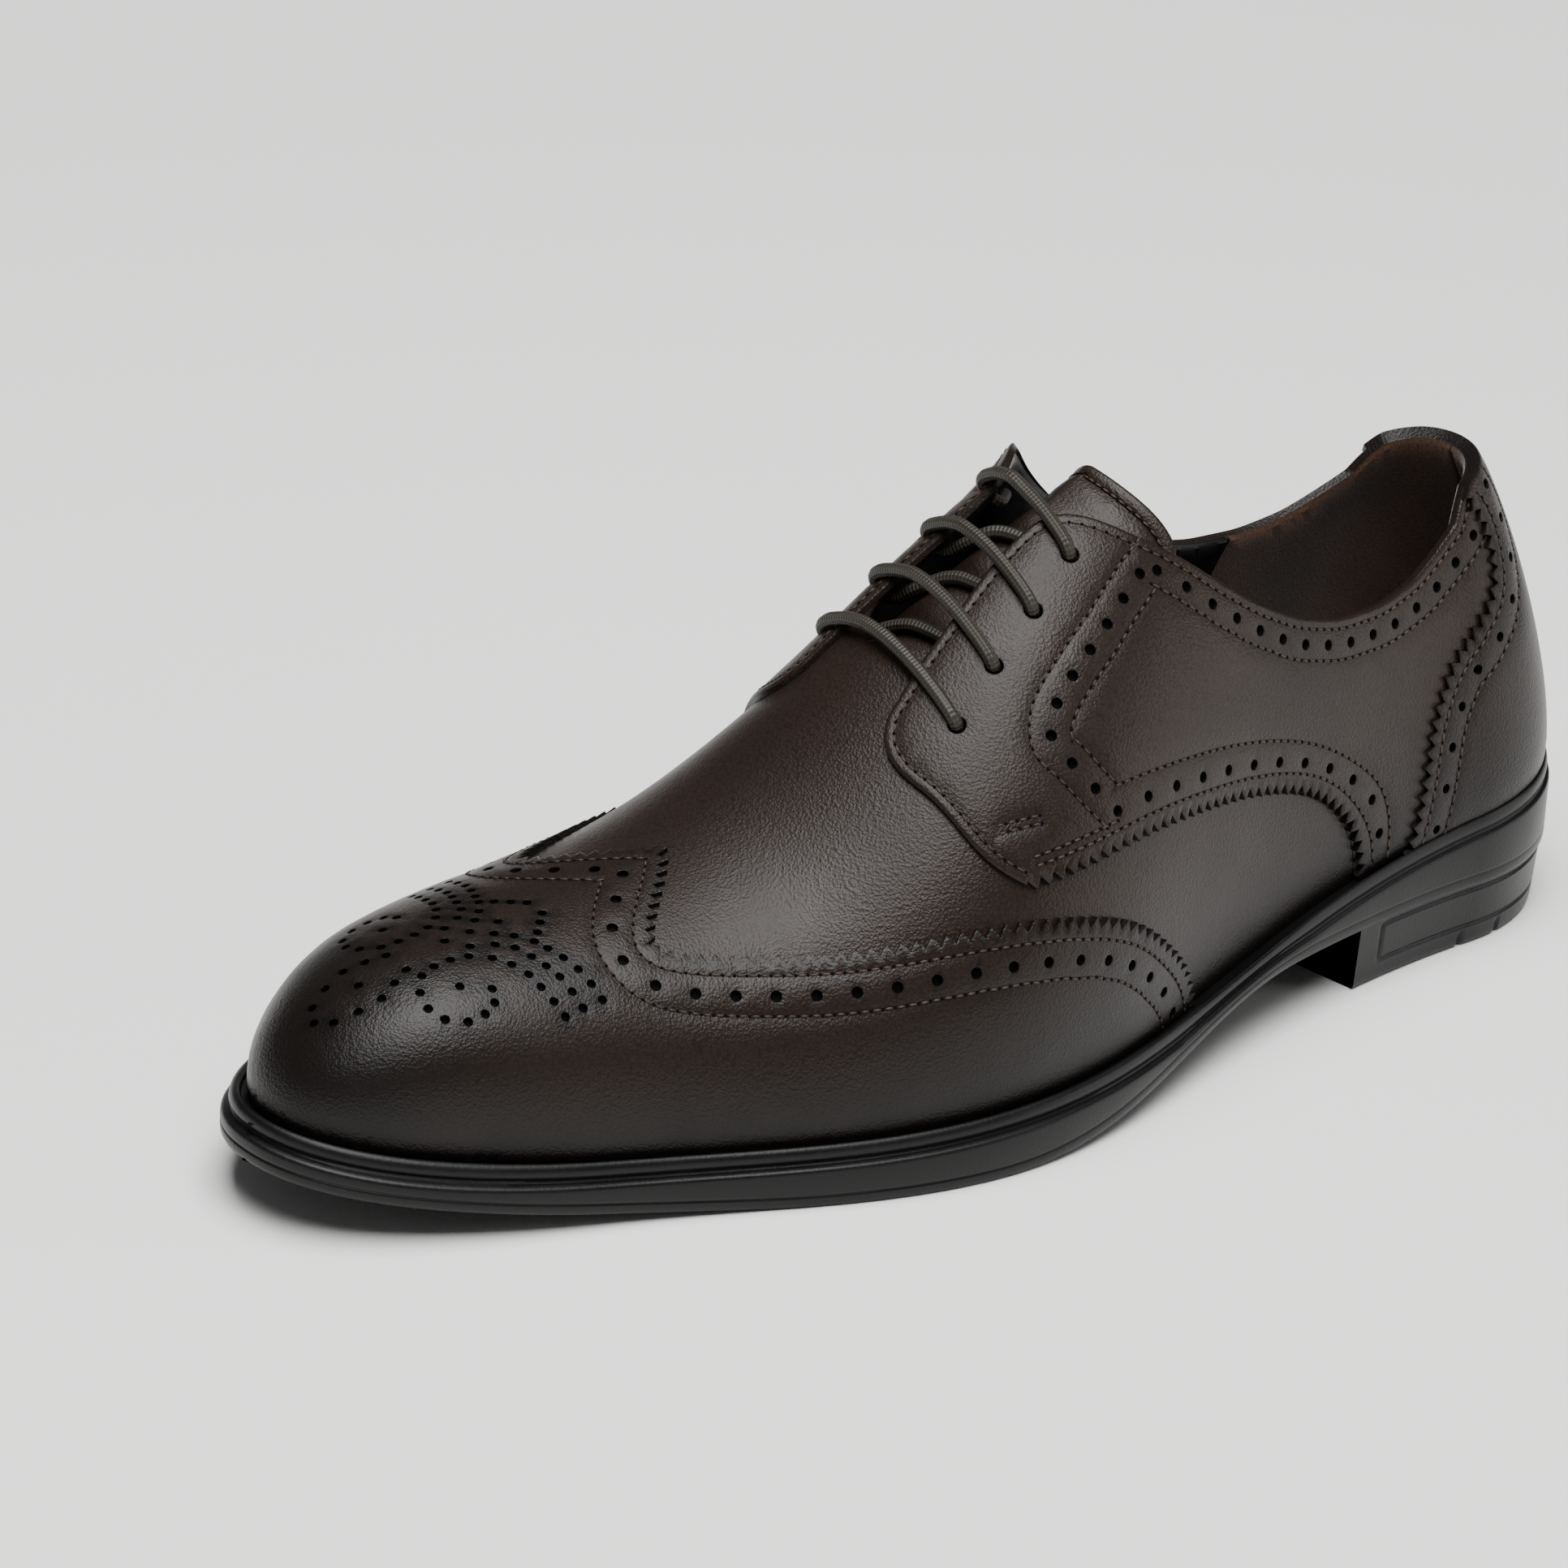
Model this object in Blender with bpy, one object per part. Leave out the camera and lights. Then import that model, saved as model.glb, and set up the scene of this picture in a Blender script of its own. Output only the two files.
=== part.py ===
"""A man's left derby shoe with a wing cap and punched edges, as separate solids in metres, +Z up.

The toe points along -Y, the outer side of the foot is +X and the sole stands on z = 0. Every curved
piece is cut from one form, the shape of the last. A point on the form has a place `at` along the foot,
counted from the back of the heel, a `girth` from the ridge (0) down to the feather line, where the
upper meets the sole (1), a side (+1 outer, -1 inner) and a lift off the form.
"""
import math

import bmesh
import bpy
import numpy as np

# Main sizes
LENGTH = 0.305
BALL_WIDTH = 0.106
SEAT_HEIGHT = 0.031
INSTEP_HEIGHT = 0.110
CENTRE_SHIFT = -0.00165

# Rounding of the heel and the toe
HEEL_ROUND = 0.036
TOE_ROUND = 0.053
TOE_DROP = 0.034
HEEL_POWER = 2.1
TOE_POWER = 2.2

# Sole
RIM_TOE = 0.0060
RIM_HEEL = 0.0040
RIM_BLEND = 0.7
SEAT_EDGE = 0.0023
SIDE_ROOM = 0.0068
ARCH_HEIGHT = 0.0137
ARCH_BACK = 0.29
ARCH_FRONT = 0.60
ARCH_POWER = 1.4
SPRING_FROM = 0.68
FLAT_SHARE = 0.7
TOE_SPRING = 0.012
SPRING_POWER = 1.8
BREAST_OUTER = 0.0680
BREAST_INNER = 0.0770
BLOCK_OVERLAP = 0.0010
BLOCK_INSET = 0.0012
BLOCK_TAPER = 0.0010
PANEL_STEP = 0.0005
PANEL_EDGE = 0.0045

# Leather and other sheets
TOUCH = 0.0003
LAYER_GAP = 0.0008
WALL = 0.0018
OVERLAY = 0.0007
COUNTER_THICKNESS = 0.0012
INSOLE_THICKNESS = 0.0030
INSOLE_INSET = 0.0036
TONGUE_THICKNESS = 0.0025

# Throat, eyelets and lace
THROAT_END = 0.166
THROAT_ROUND = 0.010
EYELET_FIRST = 0.1673
EYELET_LAST = 0.1347
EYELET_COUNT = 4
EYELET_GIRTH_FIRST = 0.264
EYELET_GIRTH_LAST = 0.151
EYELET_DIAMETER = 0.0046
EYELET_SIDES = 12
LACE_DIAMETER = 0.0030
LACE_GAP = 0.0008
LACE_BEND = 0.0023
LACE_STEP = 0.0065
LACE_STRAIGHT = 0.0028
LACE_END_GIRTH = 0.055
LACE_CORNER_POINTS = 4

# Sections of the last, from heel to toe. at: share of LENGTH. outer, inner (half widths of the sole),
# centre, peak (the ridge's offset) and swell: shares of BALL_WIDTH. feather: share of SEAT_HEIGHT.
# ridge: share of INSTEP_HEIGHT. crown and side: how far the half section runs flat at the ridge and
# upright at the feather. lean: slope of the ridge towards the outer side.
SECTION_COLUMNS = (
    "at", "outer", "inner", "centre", "feather", "ridge", "peak", "crown", "side", "swell", "lean",
)
SECTIONS = (
    (0.00, 0.315, 0.313, 0.000, 0.995, 0.973, 0.000, 0.38, 0.25, 0.018, 0.00),
    (0.12, 0.296, 0.307, 0.000, 0.870, 0.973, 0.000, 0.38, 0.25, 0.018, 0.00),
    (0.24, 0.331, 0.293, 0.000, 0.716, 1.030, 0.000, 0.50, 0.37, 0.026, 0.02),
    (0.36, 0.408, 0.290, 0.000, 0.510, 1.050, -0.010, 0.50, 0.50, 0.045, 0.05),
    (0.48, 0.510, 0.331, -0.002, 0.410, 0.910, -0.020, 0.50, 0.60, 0.060, 0.08),
    (0.58, 0.534, 0.407, -0.008, 0.374, 0.700, -0.010, 0.52, 0.62, 0.050, 0.06),
    (0.66, 0.492, 0.463, -0.018, 0.352, 0.535, -0.005, 0.54, 0.62, 0.035, 0.04),
    (0.76, 0.390, 0.463, -0.032, 0.355, 0.450, 0.000, 0.56, 0.65, 0.030, 0.03),
    (0.86, 0.314, 0.400, -0.051, 0.423, 0.415, 0.000, 0.62, 0.70, 0.030, 0.02),
    (0.94, 0.285, 0.335, -0.067, 0.548, 0.390, 0.000, 0.64, 0.72, 0.030, 0.00),
    (1.00, 0.285, 0.275, -0.081, 0.687, 0.370, 0.000, 0.66, 0.74, 0.030, 0.00),
)

# Top edge of the upper, from the back seam round the collar and down the facing. at: share of LENGTH
# (below 0 runs round the heel). girth: share of the half section.
TOP_EDGE = (
    (-0.058, 0.215),
    (0.000, 0.218),
    (0.070, 0.232),
    (0.104, 0.276),
    (0.134, 0.350),
    (0.162, 0.408),
    (0.197, 0.440),
    (0.239, 0.444),
    (0.278, 0.418),
    (0.314, 0.368),
    (0.345, 0.308),
    (0.375, 0.234),
    (0.400, 0.172),
    (0.416, 0.118),
    (0.430, 0.078),
    (0.445, 0.064),
    (0.472, 0.071),
    (0.508, 0.092),
    (0.547, 0.117),
    (0.572, 0.146),
)

# Edge of the wing cap. girth from the ridge, and at as a share of LENGTH.
WING_EDGE = (
    (0.00, 0.700),
    (0.04, 0.708),
    (0.16, 0.735),
    (0.27, 0.753),
    (0.35, 0.753),
    (0.41, 0.731),
    (0.47, 0.698),
    (0.55, 0.644),
    (0.62, 0.577),
    (0.71, 0.498),
    (0.76, 0.465),
    (0.84, 0.430),
    (0.92, 0.405),
    (1.00, 0.392),
)

# Lower edge of the quarter, at and girth, from the counter forward to the corner of the flap.
QUARTER_LOW = (
    (0.190, 1.000),
    (0.222, 1.000),
    (0.227, 0.912),
    (0.242, 0.833),
    (0.266, 0.766),
    (0.303, 0.711),
    (0.351, 0.669),
    (0.400, 0.640),
    (0.443, 0.619),
    (0.497, 0.603),
    (0.544, 0.582),
)

# Front edge of the quarter from its top (0) to the corner of the flap (1), at as a share of LENGTH.
QUARTER_FRONT = (
    (0.00, 0.572),
    (0.08, 0.581),
    (0.20, 0.584),
    (0.45, 0.579),
    (0.79, 0.565),
    (1.00, 0.544),
)

# Edge of the heel counter from the collar (0) down to the feather line (1), at as a share of LENGTH.
COUNTER_EDGE = (
    (0.00, 0.092),
    (0.15, 0.066),
    (0.30, 0.072),
    (0.40, 0.108),
    (0.50, 0.135),
    (0.62, 0.153),
    (0.80, 0.168),
    (1.00, 0.183),
)

# Tongue, from under the vamp up to its top edge. at: share of LENGTH. depth: below the form, in sheets
# of WALL. half: half width as a share of the girth.
TONGUE_COLUMNS = ("at", "depth", "half")
TONGUE = (
    (0.365, 0.60, 0.23),
    (0.390, 2.30, 0.28),
    (0.415, 3.45, 0.33),
    (0.520, 3.45, 0.33),
    (0.558, 3.45, 0.30),
    (0.595, 1.17, 0.17),
)
TONGUE_CORNER = 0.030

# Side of the sole. out: share of the free rim from the seat's edge (0) to the sole's edge (1). height:
# below the feather line for the upper rows, above the underside for the lower rows.
SOLE_TOP = (
    (0.03, -0.0006),
    (0.28, -0.0011),
    (0.52, -0.0004),
    (0.60, 0.0009),
    (0.42, 0.0017),
    (0.50, 0.0026),
    (0.92, 0.0030),
)
SOLE_BOTTOM = (
    (1.00, 0.0026),
    (0.86, 0.0020),
    (0.90, 0.0009),
    (0.66, 0.0000),
)

# Colours of the parts, with roughness
LEATHER = ((0.045, 0.030, 0.025, 1.0), 0.42)
LEATHER_DARK = ((0.028, 0.019, 0.017, 1.0), 0.38)
LINING = ((0.020, 0.017, 0.016, 1.0), 0.60)
RUBBER = ((0.012, 0.012, 0.012, 1.0), 0.50)
CORD = ((0.040, 0.034, 0.024, 1.0), 0.70)

# Where the sheets have a section, closer together where the top edge turns down the facing
COLLAR_MARKS = (
    0.0, 0.1, 0.2, 0.3, 0.4, 0.5, 0.58, 0.64, 0.69, 0.73, 0.75, 0.77, 0.81, 0.86, 0.91, 0.955, 1.0,
)
QUARTER_MARKS = (
    0.0, 0.08, 0.155, 0.20, 0.25, 0.31, 0.38, 0.45, 0.50, 0.54, 0.575, 0.595, 0.615, 0.645, 0.69, 0.74, 0.80,
    0.87, 0.935, 1.0,
)
WING_MARKS = (
    0.0, 0.07, 0.14, 0.22, 0.30, 0.38, 0.46, 0.54, 0.62, 0.70, 0.77, 0.83, 0.885, 0.93, 0.965, 0.988, 1.0,
)
# Rows round the heel, down the sheets and across the sole
HEEL_ROWS = 8
TOE_ROWS = 9
VAMP_ROWS = 8
THROAT_ROWS = 3
UPPER_POINTS = 10
WING_POINTS = 15
SEAM_POINTS = 9
COUNTER_ROWS = 11
TONGUE_ROWS = 12
TONGUE_POINTS = 11
ARCH_ROWS = 9
SPRING_ROWS = 4
SOLE_POINTS = 5
BLOCK_ROWS = 12
INSOLE_ROWS = 9
GIRTH_STEPS = np.linspace(0.0, 1.0, 25)


def clear_scene():
    """Remove every object of the open scene."""
    for item in list(bpy.data.objects):
        bpy.data.objects.remove(item, do_unlink=True)


def mix(start, end, share):
    """Return the value at a share of the way from start to end."""
    return start + (end - start) * share


def smooth(share):
    """Return the share with a soft start and end, kept between 0 and 1."""
    share = np.clip(share, 0.0, 1.0)
    return share * share * (3.0 - 2.0 * share)


def read_table(table, x):
    """Return the value of a two-column table at x."""
    rows = np.array(table)
    return np.interp(x, rows[:, 0], rows[:, 1])


def natural_spline(xs, ys):
    """Return a function that gives the natural cubic spline through the points."""
    xs, ys = np.asarray(xs, float), np.asarray(ys, float)
    count, gap = len(xs), np.diff(xs)
    matrix, right = np.eye(count), np.zeros(count)
    for i in range(1, count - 1):
        matrix[i, i - 1:i + 2] = gap[i - 1], 2 * (gap[i - 1] + gap[i]), gap[i]
        right[i] = 6 * ((ys[i + 1] - ys[i]) / gap[i] - (ys[i] - ys[i - 1]) / gap[i - 1])
    bend = np.linalg.solve(matrix, right)

    def value(x):
        x = np.asarray(x, float)
        i = np.clip(np.searchsorted(xs, x) - 1, 0, count - 2)
        after, before = xs[i + 1] - x, x - xs[i]
        curve = (bend[i] * after**3 + bend[i + 1] * before**3) / (6 * gap[i])
        low = (ys[i] / gap[i] - bend[i] * gap[i] / 6) * after
        high = (ys[i + 1] / gap[i] - bend[i + 1] * gap[i] / 6) * before
        return curve + low + high

    return value


SPLINES = {
    name: natural_spline([row[0] for row in SECTIONS], [row[j] for row in SECTIONS])
    for j, name in enumerate(SECTION_COLUMNS)
}


def column(name, place, unit=1.0):
    """Return one column of the sections at a place along the foot, in its unit."""
    return SPLINES[name](np.asarray(place, float) / LENGTH) * unit


def taper(place, end, length):
    """Return 1 along the foot, falling to 0 at the end over a rounded length."""
    share = np.clip((np.asarray(place, float) - (end - length)) / length, 0.0, 1.0)
    return np.power(np.clip(1.0 - share**TOE_POWER, 0.0, 1.0), 1.0 / TOE_POWER)


def rim(place):
    """Return how far the sole stands out beyond the feather line."""
    return mix(RIM_HEEL, RIM_TOE, smooth(np.asarray(place, float) / LENGTH / RIM_BLEND))


TIP = LENGTH - RIM_TOE
BACK = HEEL_ROUND * (1.0 - math.pi / 2)


def fan_angle(at):
    """Return the turn round the heel: 0 where the sides begin, a quarter turn at the back seam."""
    return np.clip((HEEL_ROUND - np.asarray(at, float)) / HEEL_ROUND, 0.0, math.pi / 2)


def fan_reach(angle, half_width, back):
    """Return the distance from the heel's centre to its outline at an angle."""
    across = (np.cos(angle) / half_width)**HEEL_POWER
    along = (np.sin(angle) / back)**HEEL_POWER
    return (across + along)**(-1.0 / HEEL_POWER)


def half_width(place, side):
    """Return the sole's half width on one side."""
    return np.where(side > 0, column("outer", place, BALL_WIDTH), column("inner", place, BALL_WIDTH))


def centre_x(place):
    """Return where the sole's centre line runs."""
    return column("centre", place, BALL_WIDTH) + CENTRE_SHIFT


def feather_height(place):
    """Return the height of the feather line."""
    return column("feather", np.clip(place, 0.0, LENGTH), SEAT_HEIGHT)


def underside(place):
    """Return the height of the sole's underside: arch, flat forefoot and toe spring."""
    share = np.asarray(place, float) / LENGTH
    arch = smooth((ARCH_FRONT - share) / (ARCH_FRONT - ARCH_BACK))**ARCH_POWER
    spring = np.clip((share - SPRING_FROM) / (1.0 - SPRING_FROM), 0.0, 1.0)**SPRING_POWER
    return ARCH_HEIGHT * arch + TOE_SPRING * spring


def outline(at, side, inset):
    """Return the plan points of the sole's edge, drawn in by an inset, and their places."""
    at, side, inset = np.broadcast_arrays(*(np.asarray(v, float) for v in (at, side, inset)))
    end = LENGTH - inset
    forward = np.clip((at - HEEL_ROUND) / (TIP - HEEL_ROUND), 0.0, 1.0)
    place = mix(HEEL_ROUND, end, forward)
    width = (half_width(place, side) - inset) * taper(place, end, TOE_ROUND)
    angle = fan_angle(at)
    reach = np.where(at < HEEL_ROUND, fan_reach(angle, np.maximum(width, TOUCH), HEEL_ROUND - inset), width)
    x = centre_x(place) + side * np.cos(angle) * reach
    place = place - np.sin(angle) * reach
    return np.stack([x, LENGTH / 2 - place], -1), place


def section(at, side):
    """Return the half section's curve points: outward and up, with its foot and its direction."""
    place = np.clip(at, HEEL_ROUND, TIP)
    angle = fan_angle(at)
    round_in = taper(place, TIP, TOE_ROUND)
    peak = column("peak", place, BALL_WIDTH) * round_in
    width = (half_width(place, side) - rim(place)) * round_in - side * peak
    back = HEEL_ROUND - RIM_HEEL
    reach = np.where(at < HEEL_ROUND, fan_reach(angle, np.maximum(width, TOUCH), back), width)
    foot = feather_height(place - np.sin(angle) * reach)
    rise = (column("ridge", place, INSTEP_HEIGHT) - foot) * taper(place, TIP, TOE_DROP)
    crown = column("crown", place) * reach
    swell = column("swell", place, BALL_WIDTH) * round_in
    lean = column("lean", place) * side * np.cos(angle)
    outward = np.stack([0 * reach, crown, reach + swell, reach], -1)
    shoulder = foot + column("side", place) * rise
    upward = np.stack([foot + rise, foot + rise - lean * crown, shoulder, foot], -1)
    base = np.stack([centre_x(place) + peak, LENGTH / 2 - place, 0 * place], -1)
    ray = np.stack([np.cos(angle) * side, np.sin(angle), 0 * angle], -1)
    return outward, upward, base, ray


def bezier(points, t):
    """Return the cubic curve through four control values at t."""
    u = 1.0 - t
    first, second = points[..., 0] * u**3, 3 * points[..., 1] * u * u * t
    third, fourth = 3 * points[..., 2] * u * t * t, points[..., 3] * t**3
    return first + second + third + fourth


def curve_share(outward, upward, girth):
    """Return the curve's parameter at a share of the half section's length."""
    xs = bezier(outward[..., None, :], GIRTH_STEPS)
    zs = bezier(upward[..., None, :], GIRTH_STEPS)
    run = np.cumsum(np.hypot(np.diff(xs), np.diff(zs)), -1)
    run = np.concatenate([np.zeros(run.shape[:-1] + (1,)), run], -1)
    run = run / np.maximum(run[..., -1:], 1e-12)
    k = np.clip((run < girth[..., None]).sum(-1) - 1, 0, len(GIRTH_STEPS) - 2)[..., None]
    low = np.take_along_axis(run, k, -1)[..., 0]
    high = np.take_along_axis(run, k + 1, -1)[..., 0]
    step = GIRTH_STEPS[1] - GIRTH_STEPS[0]
    return GIRTH_STEPS[k[..., 0]] + (girth - low) / np.maximum(high - low, 1e-12) * step


def skin(at, girth, side):
    """Return points on the form."""
    at, girth, side = np.broadcast_arrays(*(np.asarray(v, float) for v in (at, girth, side)))
    outward, upward, base, ray = section(at, side)
    t = curve_share(outward, upward, girth)
    return base + ray * bezier(outward, t)[..., None] + np.array([0, 0, 1.0]) * bezier(upward, t)[..., None]


def normals(at, girth, side):
    """Return the form's outward unit normals, level at the feather line."""
    at, girth, side = np.broadcast_arrays(*(np.asarray(v, float) for v in (at, girth, side)))
    step, turn = 1e-4, 2e-3
    near = np.clip(at, BACK + step, TIP - 3 * step)
    along = skin(near + step, girth, side) - skin(near - step, girth, side)
    low, high = np.clip(girth - turn, 0, 1), np.clip(girth + turn, 0, 1)
    around = skin(near, high, side) - skin(near, low, side)
    normal = np.cross(along, around) * side[..., None]
    normal[girth >= 1.0, 2] = 0.0
    return normal / (np.linalg.norm(normal, axis=-1, keepdims=True) + 1e-15)


def on_form(at, turn, lift):
    """Return points over the form, where turn is the girth with the side's sign."""
    at, turn, lift = np.broadcast_arrays(*(np.asarray(v, float) for v in (at, turn, lift)))
    side = np.where(turn < 0, -1.0, 1.0)
    girth = np.abs(turn)
    return skin(at, girth, side) + normals(at, girth, side) * lift[..., None]


def material(name, look):
    """Return a Principled material of one colour and roughness."""
    colour, roughness = look
    finish = bpy.data.materials.new(name)
    finish.use_nodes = True
    shader = finish.node_tree.nodes["Principled BSDF"]
    shader.inputs["Base Color"].default_value = colour
    shader.inputs["Roughness"].default_value = roughness
    shader.inputs["Metallic"].default_value = 0.0
    return finish


def add_object(name, points, faces, look, sharp_angle=40.0):
    """Make one named object from points and faces, shaded smooth, with its material."""
    bm = bmesh.new()
    verts = [bm.verts.new(point) for point in points]
    for face in faces:
        loop = [k for n, k in enumerate(face) if k != face[n - 1]]
        if len(loop) > 2 and len(set(loop)) == len(loop):
            bm.faces.new([verts[k] for k in loop])
    loose = [vert for vert in bm.verts if not vert.link_faces]
    bmesh.ops.delete(bm, geom=loose, context="VERTS")
    mesh = bpy.data.meshes.new(name)
    bm.to_mesh(mesh)
    bm.free()
    mesh.shade_smooth()
    mesh.set_sharp_from_angle(angle=math.radians(sharp_angle))
    mesh.materials.append(material(name, look))
    item = bpy.data.objects.new(name, mesh)
    bpy.context.scene.collection.objects.link(item)
    return item


def as_cutter(item):
    """Mark an object as a tool that only shapes another object."""
    item.hide_render = True
    item.display_type = "WIRE"


def add_boolean(item, cutter, operation):
    """Join or cut an object with another one."""
    step = item.modifiers.new(cutter.name, "BOOLEAN")
    step.operation = operation
    step.object = cutter
    step.solver = "EXACT"


def grid_cells(rows, columns, start, flip):
    """Return the four-sided cells of a grid whose points are numbered by rows from start."""
    cells = []
    for i in range(rows - 1):
        for j in range(columns - 1):
            first = start + i * columns + j
            cell = [first, first + columns, first + columns + 1, first + 1]
            cells.append(cell[::-1] if flip else cell)
    return cells


def add_sheet(name, patches, inside, outside, look):
    """Make one closed sheet over the form from grids that meet along their seams.

    Each patch is (at, girth, side): two grids of one shape, and a side. The sheet lies between the
    lifts inside and outside, numbers or functions of at. Points that meet on the form are one point.
    """
    points, directions, lows, highs, cells, count = [], [], [], [], [], 0
    for at, girth, side in patches:
        rows, columns = at.shape
        cells += grid_cells(rows, columns, count, side < 0)
        points.append(skin(at, girth, side).reshape(-1, 3))
        directions.append(normals(at, girth, side).reshape(-1, 3))
        lows.append((inside(at) if callable(inside) else inside + 0 * at).ravel())
        highs.append((outside(at) if callable(outside) else outside + 0 * at).ravel())
        count += rows * columns
    points, directions = np.vstack(points), np.vstack(directions)
    lows, highs = np.concatenate(lows), np.concatenate(highs)
    _, first, group = np.unique(np.round(points, 6), axis=0, return_index=True, return_inverse=True)
    group = group.ravel()
    normal = np.zeros((len(first), 3))
    np.add.at(normal, group, directions)
    normal /= np.linalg.norm(normal, axis=1, keepdims=True)
    outer = points[first] + normal * highs[first, None]
    inner = points[first] + normal * lows[first, None]
    top = []
    for cell in cells:
        loop = [int(group[k]) for k in cell]
        loop = [k for n, k in enumerate(loop) if k != loop[n - 1]]
        if len(loop) > 2:
            top.append(loop)
    shift = len(first)
    edges = {(face[n - 1], face[n]) for face in top for n in range(len(face))}
    sides = [[b, a, a + shift, b + shift] for a, b in edges if (b, a) not in edges]
    under = [[k + shift for k in face[::-1]] for face in top]
    return add_object(name, np.vstack([outer, inner]), top + under + sorted(sides), look)


def toe_places(start, rows, toe_rows):
    """Return places from start to the tip, closer together where the toe turns in."""
    turn_in = TIP - TOE_ROUND
    angle = np.linspace(0.0, math.pi / 2, toe_rows)
    toe = turn_in + TOE_ROUND * np.sin(angle)**(2.0 / TOE_POWER)
    return np.concatenate([np.linspace(start, turn_in, rows)[:-1], toe])


def top_girth(at):
    """Return the girth of the upper's top edge, 0 where the vamp is closed."""
    edge = read_table(TOP_EDGE, np.asarray(at, float) / LENGTH)
    share = np.clip((np.asarray(at, float) - (THROAT_END - THROAT_ROUND)) / THROAT_ROUND, 0.0, 1.0)
    return edge * np.sqrt(1.0 - share * share)


def make_upper():
    """Make the upper: one hollow wall over the whole form, open at the collar, the throat and below."""
    heel = np.linspace(BACK, HEEL_ROUND, HEEL_ROWS + 1)[:-1]
    collar = mix(HEEL_ROUND, THROAT_END - THROAT_ROUND, np.array(COLLAR_MARKS))[:-1]
    turn_in = np.linspace(0.0, math.pi / 2, THROAT_ROWS + 1)[:-1]
    throat = THROAT_END - THROAT_ROUND * np.cos(turn_in)
    places = np.concatenate([heel, collar, throat, toe_places(THROAT_END, VAMP_ROWS, TOE_ROWS)])
    down = np.linspace(0.0, 1.0, UPPER_POINTS)
    at = places[:, None] + 0 * down
    girth = mix(top_girth(places)[:, None], 1.0, down)
    patches = [(at, girth, 1.0), (at, girth, -1.0)]
    return add_sheet("upper", patches, -WALL, 0.0, LEATHER)


def make_wing_cap():
    """Make the wing cap: it covers the toe and sweeps back along both sides."""
    fine = np.linspace(0.0, 1.0, 60)
    edge = skin(read_table(WING_EDGE, fine) * LENGTH, fine, 1.0)
    run = np.concatenate([[0.0], np.cumsum(np.linalg.norm(np.diff(edge, axis=0), axis=1))])
    share = np.linspace(0.0, 1.0, WING_POINTS)
    girth = np.interp(share, run / run[-1], fine)
    start = read_table(WING_EDGE, girth) * LENGTH
    marks = np.array(WING_MARKS)[:, None]
    at = mix(start[None, :], TIP, marks)
    grid = mix(girth[None, :], share[None, :], smooth(marks))
    patches = [(at, grid, 1.0), (at, grid, -1.0)]
    return add_sheet("wing_cap", patches, LAYER_GAP, LAYER_GAP + OVERLAY, LEATHER_DARK)


def counter_grid(rows, columns):
    """Return the grid of one half of the heel counter."""
    down = np.linspace(0.0, 1.0, columns)
    edge = read_table(COUNTER_EDGE, down) * LENGTH
    at = mix(BACK, edge[None, :], np.linspace(0.0, 1.0, rows)[:, None])
    return at, mix(top_girth(at), 1.0, down[None, :])


def make_heel_counter():
    """Make the heel counter: one piece round the back, up to the collar."""
    at, girth = counter_grid(COUNTER_ROWS, SEAM_POINTS)
    patches = [(at, girth, 1.0), (at, girth, -1.0)]
    return add_sheet("heel_counter", patches, LAYER_GAP, LAYER_GAP + COUNTER_THICKNESS, LEATHER_DARK)


def make_quarter(name, side):
    """Make one quarter: the flap with the eyelets, from the vamp back to the counter."""
    down = np.linspace(0.0, 1.0, SEAM_POINTS)
    low = np.array(QUARTER_LOW)
    seam_at, _ = counter_grid(2, len(down))
    back = seam_at[-1] + TOUCH * 2
    front = read_table(QUARTER_FRONT, down) * LENGTH
    at = mix(back[None, :], front[None, :], np.array(QUARTER_MARKS)[:, None])
    top = read_table(TOP_EDGE, at / LENGTH)
    bottom = np.interp(at / LENGTH, low[:, 0], low[:, 1])
    girth = mix(top, bottom, down[None, :])
    return add_sheet(name, [(at, girth, side)], LAYER_GAP, LAYER_GAP + OVERLAY, LEATHER)


def tongue_column(name, at):
    """Return one column of the tongue's table at a place."""
    rows = np.array(TONGUE)
    return np.interp(np.asarray(at, float) / LENGTH, rows[:, 0], rows[:, TONGUE_COLUMNS.index(name)])


def make_tongue():
    """Make the tongue: from under the vamp up through the throat to its rounded top edge."""
    share = np.linspace(-1.0, 1.0, TONGUE_POINTS)
    top = LENGTH * (TONGUE[0][0] + TONGUE_CORNER * np.abs(share)**3)
    at = mix(top[None, :], LENGTH * TONGUE[-1][0], np.linspace(0.0, 1.0, TONGUE_ROWS)[:, None])
    turn = share[None, :] * tongue_column("half", at)
    middle = TONGUE_POINTS // 2
    patches = [
        (at[:, middle:], turn[:, middle:], 1.0),
        (at[:, middle::-1], -turn[:, middle::-1], -1.0),
    ]

    def outside(place):
        return -WALL * tongue_column("depth", place)

    def inside(place):
        return outside(place) - TONGUE_THICKNESS

    return add_sheet("tongue", patches, inside, outside, LINING)


def plate(places, inset, columns):
    """Return plan points across the sole from the inner edge to the outer edge, and their places."""
    outer, place_outer = outline(places, 1.0, inset)
    inner, place_inner = outline(places, -1.0, inset)
    share = np.linspace(0.0, 1.0, columns)[None, :, None]
    points = mix(inner[:, None, :], outer[:, None, :], share)
    return points, mix(place_inner[:, None], place_outer[:, None], share[..., 0])


def add_loft(name, rings, look):
    """Make one closed body from rings of equal count, whose end rings are folded flat."""
    rows, count = rings.shape[:2]
    flat = rings.reshape(-1, 3)
    _, first, group = np.unique(np.round(flat, 6), axis=0, return_index=True, return_inverse=True)
    group = group.ravel()
    faces = []
    for i in range(rows - 1):
        for j in range(count):
            k = (j + 1) % count
            cell = [i * count + j, (i + 1) * count + j, (i + 1) * count + k, i * count + k]
            faces.append([int(group[c]) for c in cell])
    return add_object(name, flat[first], faces, look)


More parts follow.
